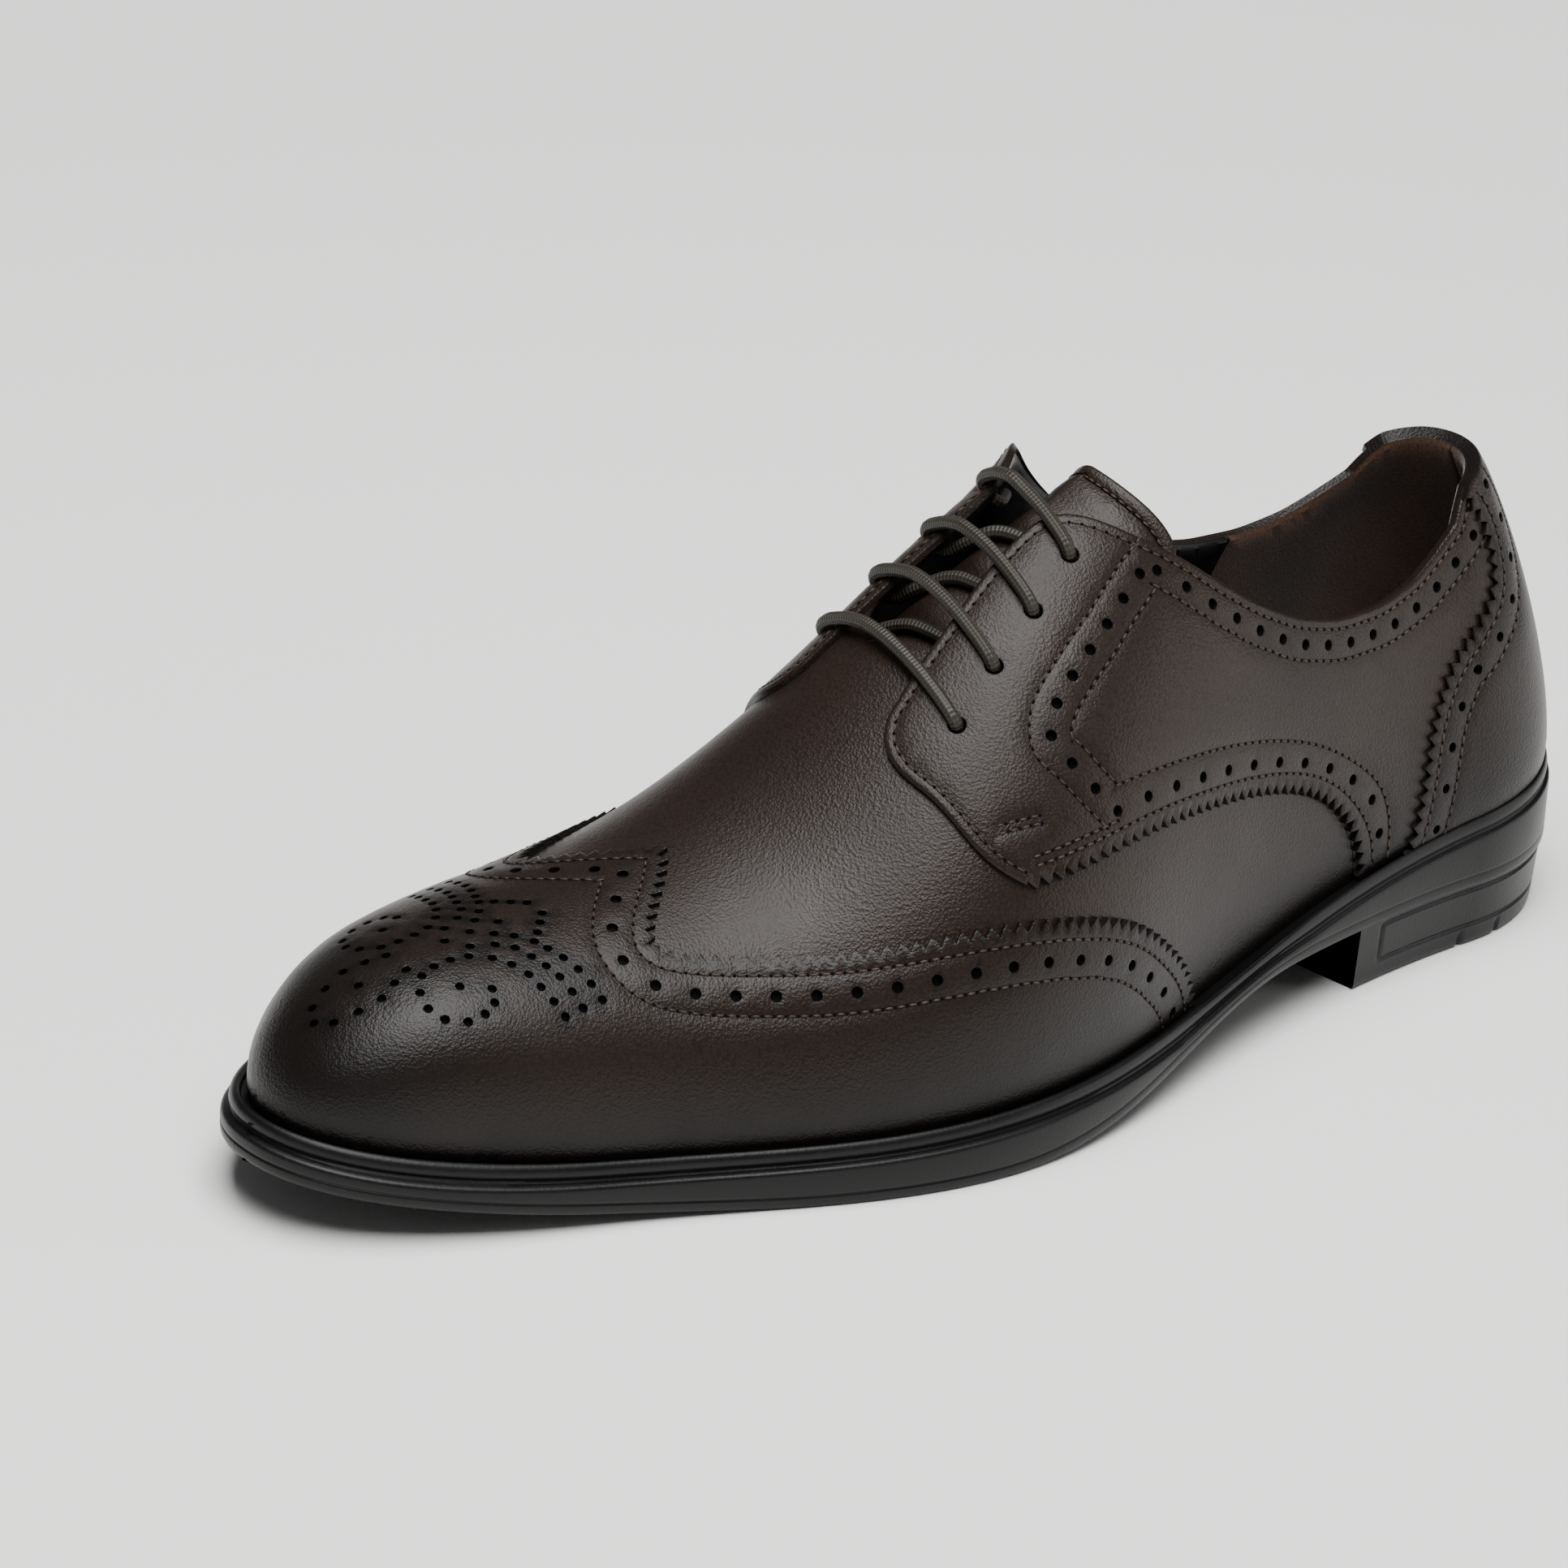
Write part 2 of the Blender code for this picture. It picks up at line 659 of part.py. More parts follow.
def side_profile(at, side):
    """Return the points of the sole's side from its top inwards edge down to its underside.

    Where the sole is thinner than SIDE_ROOM, the steps of its side are lower in proportion.
    """
    _, edge_place = outline(at, side, 0.0)
    free = rim(edge_place) - SEAT_EDGE
    feather = skin(at, 1.0, side)[:, 2]
    scale = np.minimum(1.0, (feather - underside(edge_place)) / SIDE_ROOM)
    rows = []
    for out, height in ((0.0, TOUCH),) + SOLE_TOP:
        plan, _ = outline(at, side, free * (1.0 - out))
        drop = height if height == TOUCH else height * scale
        rows.append(np.concatenate([plan, (feather - drop)[:, None]], 1))
    for out, height in SOLE_BOTTOM:
        plan, place = outline(at, side, free * (1.0 - out))
        rows.append(np.concatenate([plan, (underside(place) + height * scale)[:, None]], 1))
    return np.stack(rows, 1)


def make_outsole():
    """Make the moulded sole and its heel as one body, with its bead, groove and wall."""
    heel = np.linspace(BACK, HEEL_ROUND, HEEL_ROWS)[:-1]
    arch = np.linspace(HEEL_ROUND, ARCH_FRONT * LENGTH, ARCH_ROWS + 1)
    flat_end = mix(ARCH_FRONT, SPRING_FROM, FLAT_SHARE) * LENGTH
    places = np.concatenate([heel, arch, toe_places(flat_end, SPRING_ROWS, TOE_ROWS)])
    across = np.linspace(0.0, 1.0, SOLE_POINTS)[None, :, None]
    top = mix(skin(places, 1.0, -1.0)[:, None], skin(places, 1.0, 1.0)[:, None], across)
    top = top - np.array([0.0, 0.0, TOUCH])
    _, edge_place = outline(places, 1.0, 0.0)
    bottom, bottom_place = plate(places, rim(edge_place), SOLE_POINTS)
    bottom = np.concatenate([bottom, underside(bottom_place)[..., None]], -1)
    outer, inner = side_profile(places, 1.0), side_profile(places, -1.0)
    rings = np.concatenate([top, outer, bottom[:, ::-1], inner[:, ::-1]], 1)
    sole = add_loft("outsole", rings, RUBBER)
    block = make_heel_block()
    add_boolean(sole, block, "UNION")
    return sole


def make_heel_block():
    """Make the heel block, with its sunk side panel, as a body that joins the sole."""
    share = np.linspace(0.0, 1.0, BLOCK_ROWS)
    heights = (
        (ARCH_HEIGHT + BLOCK_OVERLAP, 0.0),
        (ARCH_HEIGHT - PANEL_STEP * 3, 0.0),
        (ARCH_HEIGHT - PANEL_STEP * 4, PANEL_STEP),
        (PANEL_EDGE, PANEL_STEP),
        (PANEL_EDGE - PANEL_STEP, 0.0),
        (PANEL_STEP * 2, 0.0),
        (0.0, PANEL_STEP * 2),
    )
    sides = {}
    for side, front in ((1.0, BREAST_OUTER), (-1.0, BREAST_INNER)):
        at = mix(BACK, front, share)
        rows = []
        for z, step in heights:
            inset = BLOCK_INSET + BLOCK_TAPER * (1.0 - z / ARCH_HEIGHT) + step
            plan, _ = outline(at, side, inset)
            rows.append(np.concatenate([plan, np.full((len(at), 1), z)], 1))
        sides[side] = np.stack(rows, 1)
    outer, inner = sides[1.0], sides[-1.0]
    across = np.linspace(0.0, 1.0, SOLE_POINTS)[1:-1, None]
    top = np.stack([mix(i[0], o[0], across) for i, o in zip(inner, outer)])
    bottom = np.stack([mix(o[-1], i[-1], across) for i, o in zip(inner, outer)])
    rings = np.concatenate([top, outer, bottom, inner[:, ::-1]], 1)
    flat = np.concatenate([rings, rings[-1:]], 0)
    flat[-1] = rings[-1].mean(0)
    block = add_loft("heel_block", flat, RUBBER)
    as_cutter(block)
    return block


def make_insole():
    """Make the insole: a thin sheet on the sole, clear of the wall round it."""
    heel = np.linspace(BACK, HEEL_ROUND, HEEL_ROWS - 1)[:-1]
    places = np.concatenate([heel, toe_places(HEEL_ROUND, INSOLE_ROWS, TOE_ROWS - 1)])
    _, edge_place = outline(places, 1.0, 0.0)
    plan, place = plate(places, rim(edge_place) + INSOLE_INSET, 3)
    low = np.concatenate([plan, feather_height(place)[..., None]], -1)
    high = low + np.array([0.0, 0.0, INSOLE_THICKNESS])
    return add_loft("insole", np.concatenate([high, low[:, ::-1]], 1), LINING)


def eyelet_places():
    """Return at and girth of the eyelets of one side, from the front one to the top one."""
    share = np.linspace(0.0, 1.0, EYELET_COUNT)
    return mix(EYELET_FIRST, EYELET_LAST, share), mix(EYELET_GIRTH_FIRST, EYELET_GIRTH_LAST, share)


def make_eyelet_cutter(name, side):
    """Make one tool with a short rod through each eyelet of a side."""
    depth = WALL + OVERLAY + LACE_DIAMETER
    points, faces = [], []
    for at, girth in zip(*eyelet_places()):
        centre = on_form(at, girth * side, 0.0)
        axis = normals(at, girth, side)
        right = np.cross(axis, [0.0, 1.0, 0.0])
        right /= np.linalg.norm(right)
        up = np.cross(axis, right)
        angle = np.linspace(0.0, 2 * math.pi, EYELET_SIDES, endpoint=False)[:, None]
        ring = (right * np.cos(angle) + up * np.sin(angle)) * EYELET_DIAMETER / 2
        start = len(points)
        points += list(centre + ring - axis * depth) + list(centre + ring + axis * depth)
        for k in range(EYELET_SIDES):
            n = (k + 1) % EYELET_SIDES
            faces.append([start + k, start + n, start + n + EYELET_SIDES, start + k + EYELET_SIDES])
        faces.append([start + k for k in range(EYELET_SIDES)][::-1])
        faces.append([start + EYELET_SIDES + k for k in range(EYELET_SIDES)])
    cutter = add_object(name, points, faces, LEATHER)
    as_cutter(cutter)
    return cutter


def round_corner(before, corner, after, radius):
    """Return points on an arc that replaces a corner."""
    a, b = before - corner, after - corner
    a, b = a / np.linalg.norm(a), b / np.linalg.norm(b)
    half = math.acos(float(np.clip(a @ b, -1.0, 1.0))) / 2
    middle = (a + b) / np.linalg.norm(a + b)
    centre = corner + middle * radius / math.sin(half)
    start, end = corner + a * radius / math.tan(half), corner + b * radius / math.tan(half)
    first, last = start - centre, end - centre
    turn = math.pi - 2 * half
    shares = np.linspace(0.0, 1.0, LACE_CORNER_POINTS)
    weights = [(math.sin((1 - k) * turn), math.sin(k * turn)) for k in shares]
    return [centre + (first * u + last * v) / math.sin(turn) for u, v in weights]


def lace_route():
    """Return the lace's middle line: bars over the facings, and a slanted run under them to the next."""
    over = LAYER_GAP + OVERLAY + LAYER_GAP + LACE_DIAMETER / 2
    below = -(WALL + LACE_GAP + LACE_DIAMETER / 2)
    ats, girths = eyelet_places()
    stops = []
    for at, girth in zip(ats, girths):
        stops.append((at, girth))
        stops.append((at, -girth))
    lines = []
    for n, (start, end) in enumerate(zip(stops, stops[1:])):
        lift = below if n % 2 else over
        length = np.linalg.norm(on_form(*end, lift) - on_form(*start, lift))
        share = np.linspace(0.0, 1.0, max(3, int(length / LACE_STEP)) + 1)
        lines.append([on_form(mix(start[0], end[0], s), mix(start[1], end[1], s), lift) for s in share])
    hidden = [on_form(ats[k], girths[k] + LACE_END_GIRTH, below) for k in (-1, 1)]
    entry, leave = on_form(*stops[0], below), on_form(*stops[-1], below)
    tail = on_form(stops[-1][0] - LACE_STEP, stops[-1][1] - LACE_END_GIRTH, below)
    route = hidden + round_corner(hidden[-1], entry, lines[0][0], LACE_BEND)
    for n, line in enumerate(lines):
        before = entry if n == 0 else lines[n - 1][-1]
        after = lines[n + 1][0] if n + 1 < len(lines) else leave
        route += round_corner(before, line[0], line[1], LACE_BEND)
        for point in line[1:-1]:
            reach = min(np.linalg.norm(point - line[0]), np.linalg.norm(point - line[-1]))
            if reach > LACE_STRAIGHT:
                route.append(point)
        route += round_corner(line[-2], line[-1], after, LACE_BEND)
    route += round_corner(lines[-1][-1], leave, tail, LACE_BEND)
    route.append(tail)
    return route


def make_lace():
    """Make the lace as one round cord through all eyelets."""
    curve = bpy.data.curves.new("lace", "CURVE")
    curve.dimensions = "3D"
    curve.bevel_depth = LACE_DIAMETER / 2
    curve.bevel_resolution = 1
    curve.use_fill_caps = True
    points = lace_route()
    spline = curve.splines.new("POLY")
    spline.points.add(len(points) - 1)
    for point, place in zip(spline.points, points):
        point.co = (*place, 1.0)
    curve.materials.append(material("lace", CORD))
    item = bpy.data.objects.new("lace", curve)
    bpy.context.scene.collection.objects.link(item)
    return item


def main():
    """Build the shoe."""
    clear_scene()
    make_outsole()
    make_insole()
    upper = make_upper()
    make_wing_cap()
    make_heel_counter()
    quarters = {1.0: make_quarter("quarter_outer", 1.0), -1.0: make_quarter("quarter_inner", -1.0)}
    for side, name in ((1.0, "eyelets_outer"), (-1.0, "eyelets_inner")):
        cutter = make_eyelet_cutter(name, side)
        add_boolean(upper, cutter, "DIFFERENCE")
        add_boolean(quarters[side], cutter, "DIFFERENCE")
    make_tongue()
    make_lace()


main()
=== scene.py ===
"""Looks of a man's left derby shoe with a wing cap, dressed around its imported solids.

Every leather piece is cut from a flat pattern with its pinked edge, punched holes and pressed seams,
and is then laid over the form of the last, as a shoemaker does. Places are in metres in the frame of
the solids: the toe points along -Y, the outer side of the foot is +X and the sole stands on z = 0.
"""

import logging
import math
from dataclasses import dataclass, field
from enum import Enum
from typing import Callable, Optional, Sequence, Union

import bmesh
import bpy
import numpy as np
from mathutils import Matrix, Vector
from mathutils.geometry import delaunay_2d_cdt
from mathutils.kdtree import KDTree

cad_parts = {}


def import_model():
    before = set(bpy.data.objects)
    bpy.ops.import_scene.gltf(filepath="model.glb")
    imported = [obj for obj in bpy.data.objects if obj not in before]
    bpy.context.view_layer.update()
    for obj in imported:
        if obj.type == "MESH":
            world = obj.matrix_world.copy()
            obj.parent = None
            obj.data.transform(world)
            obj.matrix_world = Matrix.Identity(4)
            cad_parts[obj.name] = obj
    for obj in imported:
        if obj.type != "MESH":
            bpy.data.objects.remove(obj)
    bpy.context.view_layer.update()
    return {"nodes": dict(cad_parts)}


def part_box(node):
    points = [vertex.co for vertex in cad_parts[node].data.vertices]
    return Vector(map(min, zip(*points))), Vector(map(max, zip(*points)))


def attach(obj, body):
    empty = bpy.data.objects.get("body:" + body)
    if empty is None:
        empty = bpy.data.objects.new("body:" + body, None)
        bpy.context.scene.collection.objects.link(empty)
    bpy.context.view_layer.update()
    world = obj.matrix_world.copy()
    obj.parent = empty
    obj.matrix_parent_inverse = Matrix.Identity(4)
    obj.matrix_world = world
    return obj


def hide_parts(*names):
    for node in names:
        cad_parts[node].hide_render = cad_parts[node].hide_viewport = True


LOG = logging.getLogger("brogue_shoe")
MM = 0.001
OUTER, INNER = 1.0, -1.0
# Numbers of the materials on one piece of leather, inside the vamp, and on a sewn row; the floor of a hole
# and the bead in a needle hole are painted shadow
FACE, FLOOR, EYELET_WALL = 0, 1, 2
LINED, SUEDED = 1, 2
THREAD, NEEDLE_HOLE_SHADOW = 0, 1
Values = Union[float, np.ndarray]


def mix(start: Values, end: Values, share: Values) -> Values:
    """Return the value at a share of the way from start to end."""
    return start + (end - start) * share


def smooth(share: Values) -> np.ndarray:
    """Return the share with a soft start and end, kept between 0 and 1."""
    share = np.clip(share, 0.0, 1.0)
    return share * share * (3.0 - 2.0 * share)


def read_table(table: Sequence, x: Values) -> np.ndarray:
    """Return the value of a two-column table at x."""
    rows = np.array(table, float)
    return np.interp(x, rows[:, 0], rows[:, 1])


def natural_spline(xs: Sequence, ys: Sequence) -> Callable:
    """Fit the natural cubic spline through a few points.

    Args:
        xs: Where the points lie, in rising order.
        ys: Their values.

    Returns:
        A function that gives the spline's value at one or many x.
    """
    xs, ys = np.asarray(xs, float), np.asarray(ys, float)
    count, gap = len(xs), np.diff(xs)
    matrix, right = np.eye(count), np.zeros(count)
    for i in range(1, count - 1):
        matrix[i, i - 1:i + 2] = gap[i - 1], 2 * (gap[i - 1] + gap[i]), gap[i]
        right[i] = 6 * ((ys[i + 1] - ys[i]) / gap[i] - (ys[i] - ys[i - 1]) / gap[i - 1])
    bend = np.linalg.solve(matrix, right)

    def value(x: Values) -> np.ndarray:
        """Return the spline's value at x."""
        x = np.asarray(x, float)
        i = np.clip(np.searchsorted(xs, x) - 1, 0, count - 2)
        after, before = xs[i + 1] - x, x - xs[i]
        curve = (bend[i] * after**3 + bend[i + 1] * before**3) / (6 * gap[i])
        low = (ys[i] / gap[i] - bend[i] * gap[i] / 6) * after
        high = (ys[i + 1] / gap[i] - bend[i + 1] * gap[i] / 6) * before
        return curve + low + high

    return value


# Sections of the last as in the part's source: shares of its length, ball width, seat and instep height
SECTION_COLUMNS = (
    "at", "outer", "inner", "centre", "feather", "ridge", "peak", "crown", "side", "swell", "lean",
)
SECTIONS = (
    (0.00, 0.315, 0.313, 0.000, 0.995, 0.973, 0.000, 0.38, 0.25, 0.018, 0.00),
    (0.12, 0.296, 0.307, 0.000, 0.870, 0.973, 0.000, 0.38, 0.25, 0.018, 0.00),
    (0.24, 0.331, 0.293, 0.000, 0.716, 1.030, 0.000, 0.50, 0.37, 0.026, 0.02),
    (0.36, 0.408, 0.290, 0.000, 0.510, 1.050, -0.010, 0.50, 0.50, 0.045, 0.05),
    (0.48, 0.510, 0.331, -0.002, 0.410, 0.910, -0.020, 0.50, 0.60, 0.060, 0.08),
    (0.58, 0.534, 0.407, -0.008, 0.374, 0.700, -0.010, 0.52, 0.62, 0.050, 0.06),
    (0.66, 0.492, 0.463, -0.018, 0.352, 0.535, -0.005, 0.54, 0.62, 0.035, 0.04),
    (0.76, 0.390, 0.463, -0.032, 0.355, 0.450, 0.000, 0.56, 0.65, 0.030, 0.03),
    (0.86, 0.314, 0.400, -0.051, 0.423, 0.415, 0.000, 0.62, 0.70, 0.030, 0.02),
    (0.94, 0.285, 0.335, -0.067, 0.548, 0.390, 0.000, 0.64, 0.72, 0.030, 0.00),
    (1.00, 0.285, 0.275, -0.081, 0.687, 0.370, 0.000, 0.66, 0.74, 0.030, 0.00),
)


@dataclass
class Last:
    """The form of the shoe. A place on it is `at`, metres from the heel, and `turn`, the share of the
    half girth from the ridge down to the feather line, with the side's sign: + outer, - inner."""

    length: float
    ball_width: float = 0.106
    seat_height: float = 0.031
    instep_height: float = 0.110
    centre_shift: float = -0.00165
    heel_round: float = 0.036
    toe_round: float = 0.053
    toe_drop: float = 0.034
    heel_power: float = 2.1
    toe_power: float = 2.2
    rim_toe: float = 0.0060
    rim_heel: float = 0.0040
    rim_blend: float = 0.7
    # The inner flap stands off the form: at in millimetres, and how far in millimetres at its free edge
    standing: tuple = (
        (90.0, 0.0), (104.0, 1.2), (115.0, 5.8), (122.0, 7.0), (128.0, 4.8), (134.0, 3.1), (146.0, 1.6),
        (158.0, 0.8), (172.0, 0.0),
    )
    # Turns between which it leaves the form, reaches its full lift and then ends at its free edge
    stand_turn: float = 0.36
    flat_turn: float = 0.16
    edge_turn: float = 0.06
    # How far its edge curls back down in front of the eyelets, in millimetres
    droop: tuple = (
        (104.0, 0.0), (121.0, 0.0), (128.0, 1.1), (134.0, 1.9), (146.0, 1.7), (158.0, 1.2), (166.0, 0.6),
        (172.0, 0.0),
    )

    def __post_init__(self) -> None:
        """Set up the splines and the tables of the flat pattern."""
        self.tip = self.length - self.rim_toe
        self.back = self.heel_round * (1.0 - math.pi / 2)
        self.splines = {
            name: natural_spline([row[0] for row in SECTIONS], [row[j] for row in SECTIONS])
            for j, name in enumerate(SECTION_COLUMNS)
        }
        self.girths = np.linspace(0.0, 1.0, 25)
        turn_in = self.tip - self.toe_round
        toe = turn_in + self.toe_round * np.sin(np.linspace(0.0, math.pi / 2, 300))**(2 / self.toe_power)
        self.ats = np.concatenate([np.linspace(self.back, turn_in, 500)[:-1], toe])
        steps = np.linalg.norm(np.diff(self.skin(self.ats, 0.0, OUTER), axis=0), axis=1)
        round_heel = self.ats[:-1] < self.heel_round
        steps[round_heel] = np.diff(self.ats)[round_heel]
        self.ys = (self.back + np.concatenate([[0.0], np.cumsum(steps)])) / MM
        self.reaches = {side: self.half_girth(self.ats, side) / MM for side in (OUTER, INNER)}

    def column(self, name: str, place: Values, unit: float = 1.0) -> np.ndarray:
        """Return one column of the sections at a place along the foot, in its unit."""
        return self.splines[name](np.asarray(place, float) / self.length) * unit

    def taper(self, place: Values, end: Values, length: float) -> np.ndarray:
        """Return 1 along the foot, falling to 0 at the end over a rounded length."""
        share = np.clip((np.asarray(place, float) - (end - length)) / length, 0.0, 1.0)
        return np.power(np.clip(1.0 - share**self.toe_power, 0.0, 1.0), 1.0 / self.toe_power)

    def rim(self, place: Values) -> np.ndarray:
        """Return how far the sole stands out beyond the feather line."""
        share = smooth(np.asarray(place, float) / self.length / self.rim_blend)
        return mix(self.rim_heel, self.rim_toe, share)

    def fan_angle(self, at: Values) -> np.ndarray:
        """Return the turn round the heel: 0 where the sides begin, a quarter turn at the back seam."""
        return np.clip((self.heel_round - np.asarray(at, float)) / self.heel_round, 0.0, math.pi / 2)

    def fan_reach(self, angle: Values, half_width: Values, back: Values) -> np.ndarray:
        """Return the distance from the heel's centre to its outline at an angle."""
        across = (np.cos(angle) / half_width)**self.heel_power
        along = (np.sin(angle) / back)**self.heel_power
        return (across + along)**(-1.0 / self.heel_power)

    def half_width(self, place: Values, side: Values) -> np.ndarray:
        """Return the sole's half width on one side."""
        outer, inner = (self.column(name, place, self.ball_width) for name in ("outer", "inner"))
        return np.where(np.asarray(side) > 0, outer, inner)

    def centre_x(self, place: Values) -> np.ndarray:
        """Return where the sole's centre line runs."""
        return self.column("centre", place, self.ball_width) + self.centre_shift

    def feather_height(self, place: Values) -> np.ndarray:
        """Return the height of the feather line."""
        return self.column("feather", np.clip(place, 0.0, self.length), self.seat_height)

    def outline(self, at: Values, side: Values, inset: Values) -> tuple[np.ndarray, np.ndarray]:
        """Draw the sole's edge in plan, or a line inside it.

        Args:
            at: Places along the foot in metres.
            side: OUTER or INNER.
            inset: How far the line is drawn in from the edge.

        Returns:
            The plan points, and how far along the foot each really lies.
        """
        at, side, inset = np.broadcast_arrays(*(np.asarray(v, float) for v in (at, side, inset)))
        end = self.length - inset
        forward = np.clip((at - self.heel_round) / (self.tip - self.heel_round), 0.0, 1.0)
        place = mix(self.heel_round, end, forward)
        width = (self.half_width(place, side) - inset) * self.taper(place, end, self.toe_round)
        angle = self.fan_angle(at)
        fan = self.fan_reach(angle, np.maximum(width, 1e-4), self.heel_round - inset)
        reach = np.where(at < self.heel_round, fan, width)
        x = self.centre_x(place) + side * np.cos(angle) * reach
        place = place - np.sin(angle) * reach
        return np.stack([x, self.length / 2 - place], -1), place

    def section(self, at: Values, side: Values) -> tuple[np.ndarray, ...]:
        """Draw half sections of the form, each a cubic curve in an upright plane.

        Args:
            at: Places along the foot in metres.
            side: OUTER or INNER.

        Returns:
            The curve's four control values outward and upward, the plane's foot and its direction.
        """
        place = np.clip(at, self.heel_round, self.tip)
        angle = self.fan_angle(at)
        round_in = self.taper(place, self.tip, self.toe_round)
        peak = self.column("peak", place, self.ball_width) * round_in
        width = (self.half_width(place, side) - self.rim(place)) * round_in - side * peak
        back = self.heel_round - self.rim_heel
        fan = self.fan_reach(angle, np.maximum(width, 1e-4), back)
        reach = np.where(at < self.heel_round, fan, width)
        foot = self.feather_height(place - np.sin(angle) * reach)
        top = self.column("ridge", place, self.instep_height)
        rise = (top - foot) * self.taper(place, self.tip, self.toe_drop)
        crown = self.column("crown", place) * reach
        swell = self.column("swell", place, self.ball_width) * round_in
        lean = self.column("lean", place) * side * np.cos(angle)
        outward = np.stack([0 * reach, crown, reach + swell, reach], -1)
        shoulder = foot + self.column("side", place) * rise
        upward = np.stack([foot + rise, foot + rise - lean * crown, shoulder, foot], -1)
        base = np.stack([self.centre_x(place) + peak, self.length / 2 - place, 0 * place], -1)
        ray = np.stack([np.cos(angle) * side, np.sin(angle), 0 * angle], -1)
        return outward, upward, base, ray

    @staticmethod
    def bezier(points: np.ndarray, t: Values) -> np.ndarray:
        """Return the cubic curve through four control values at t."""
        u = 1.0 - t
        first, second = points[..., 0] * u**3, 3 * points[..., 1] * u * u * t
        return first + second + 3 * points[..., 2] * u * t * t + points[..., 3] * t**3

    def skin(self, at: Values, girth: Values, side: Values) -> np.ndarray:
        """Find points on the form.

        Args:
            at: Places along the foot in metres.
            girth: Shares of the half girth, 0 on the ridge and 1 on the feather line.
            side: OUTER or INNER.

        Returns:
            The points in space.
        """
        at, girth, side = np.broadcast_arrays(*(np.asarray(v, float) for v in (at, girth, side)))
        outward, upward, base, ray = self.section(at, side)
        xs = self.bezier(outward[..., None, :], self.girths)
        zs = self.bezier(upward[..., None, :], self.girths)
        run = np.cumsum(np.hypot(np.diff(xs), np.diff(zs)), -1)
        run = np.concatenate([np.zeros(run.shape[:-1] + (1,)), run], -1)
        run = run / np.maximum(run[..., -1:], 1e-12)
        k = np.clip((run < girth[..., None]).sum(-1) - 1, 0, len(self.girths) - 2)[..., None]
        low, high = np.take_along_axis(run, k, -1)[..., 0], np.take_along_axis(run, k + 1, -1)[..., 0]
        t = self.girths[k[..., 0]] + (girth - low) / np.maximum(high - low, 1e-12) * self.girths[1]
        up = np.array([0.0, 0.0, 1.0])
        return base + ray * self.bezier(outward, t)[..., None] + up * self.bezier(upward, t)[..., None]

    def half_girth(self, at: Values, side: Values) -> np.ndarray:
        """Return the length of the half section at each place."""
        down = np.linspace(0.0, 1.0, 41)
        points = self.skin(np.asarray(at, float)[:, None], down[None, :], side)
        return np.maximum(np.linalg.norm(np.diff(points, axis=1), axis=2).sum(1), 1e-5)

    def place(self, at: Values, turn: Values) -> np.ndarray:
        """Return points on the form from a signed turn."""
        turn = np.clip(turn, -1.0, 1.0)
        return self.skin(at, np.abs(turn), np.where(turn < 0, INNER, OUTER))

    def normals(self, at: Values, turn: Values) -> np.ndarray:
        """Find which way the form faces; at the feather line that is level.

        Args:
            at: Places along the foot in metres.
            turn: Their signed turns.

        Returns:
            Unit vectors that point outwards.
        """
        at, turn = np.broadcast_arrays(np.asarray(at, float), np.asarray(turn, float))
        step, swing = 1e-4, 2e-3
        near = np.clip(at, self.back + step, self.tip - 3 * step)
        along = self.place(near + step, turn) - self.place(near - step, turn)
        around = self.place(near, turn + swing) - self.place(near, turn - swing)
        normal = np.cross(along, around)
        normal[np.abs(turn) >= 1.0, 2] = 0.0
        return normal / (np.linalg.norm(normal, axis=-1, keepdims=True) + 1e-15)

    def stand(self, at: Values, turn: Values) -> np.ndarray:
        """Find how far the inner flap stands off the form.

        Args:
            at: Places along the foot in metres.
            turn: Their signed turns; the outer side lies flat.

        Returns:
            The lifts in metres.
        """
        at, turn = np.asarray(at, float), np.asarray(turn, float)
        free = smooth((self.stand_turn + np.minimum(turn, 0.0)) / (self.stand_turn - self.flat_turn))
        curl = smooth((self.flat_turn + np.minimum(turn, 0.0)) / (self.flat_turn - self.edge_turn))
        lift = read_table(self.standing, at / MM) * free - read_table(self.droop, at / MM) * curl
        return np.where(turn < 0, lift, 0.0) * MM

    def on_form(self, at: Values, turn: Values, lift: Values) -> np.ndarray:
        """Return points over the form at a lift off it."""
        lift = np.asarray(lift, float) + self.stand(at, turn)
        return self.place(at, turn) + self.normals(at, turn) * lift[..., None]

    def flat(self, at: Values, turn: Values) -> np.ndarray:
        """Return the flat pattern's point, in millimetres across and along, of places on the form."""
        at, turn = np.broadcast_arrays(np.asarray(at, float), np.asarray(turn, float))
        outer, inner = (np.interp(at, self.ats, self.reaches[side]) for side in (OUTER, INNER))
        return np.stack([turn * np.where(turn < 0, inner, outer), np.interp(at, self.ats, self.ys)], -1)

    def lay(self, flat: np.ndarray) -> tuple[np.ndarray, np.ndarray]:
        """Return at and turn of points of the flat pattern."""
        at = np.interp(flat[..., 1], self.ys, self.ats)
        outer, inner = (np.interp(at, self.ats, self.reaches[side]) for side in (OUTER, INNER))
        return at, np.clip(flat[..., 0] / np.where(flat[..., 0] < 0, inner, outer), -1.0, 1.0)

    def drape(self, flat: np.ndarray, lift: Values) -> np.ndarray:
        """Return the points in space of a flat pattern laid over the form."""
        at, turn = self.lay(flat)
        return self.on_form(at, turn, lift)

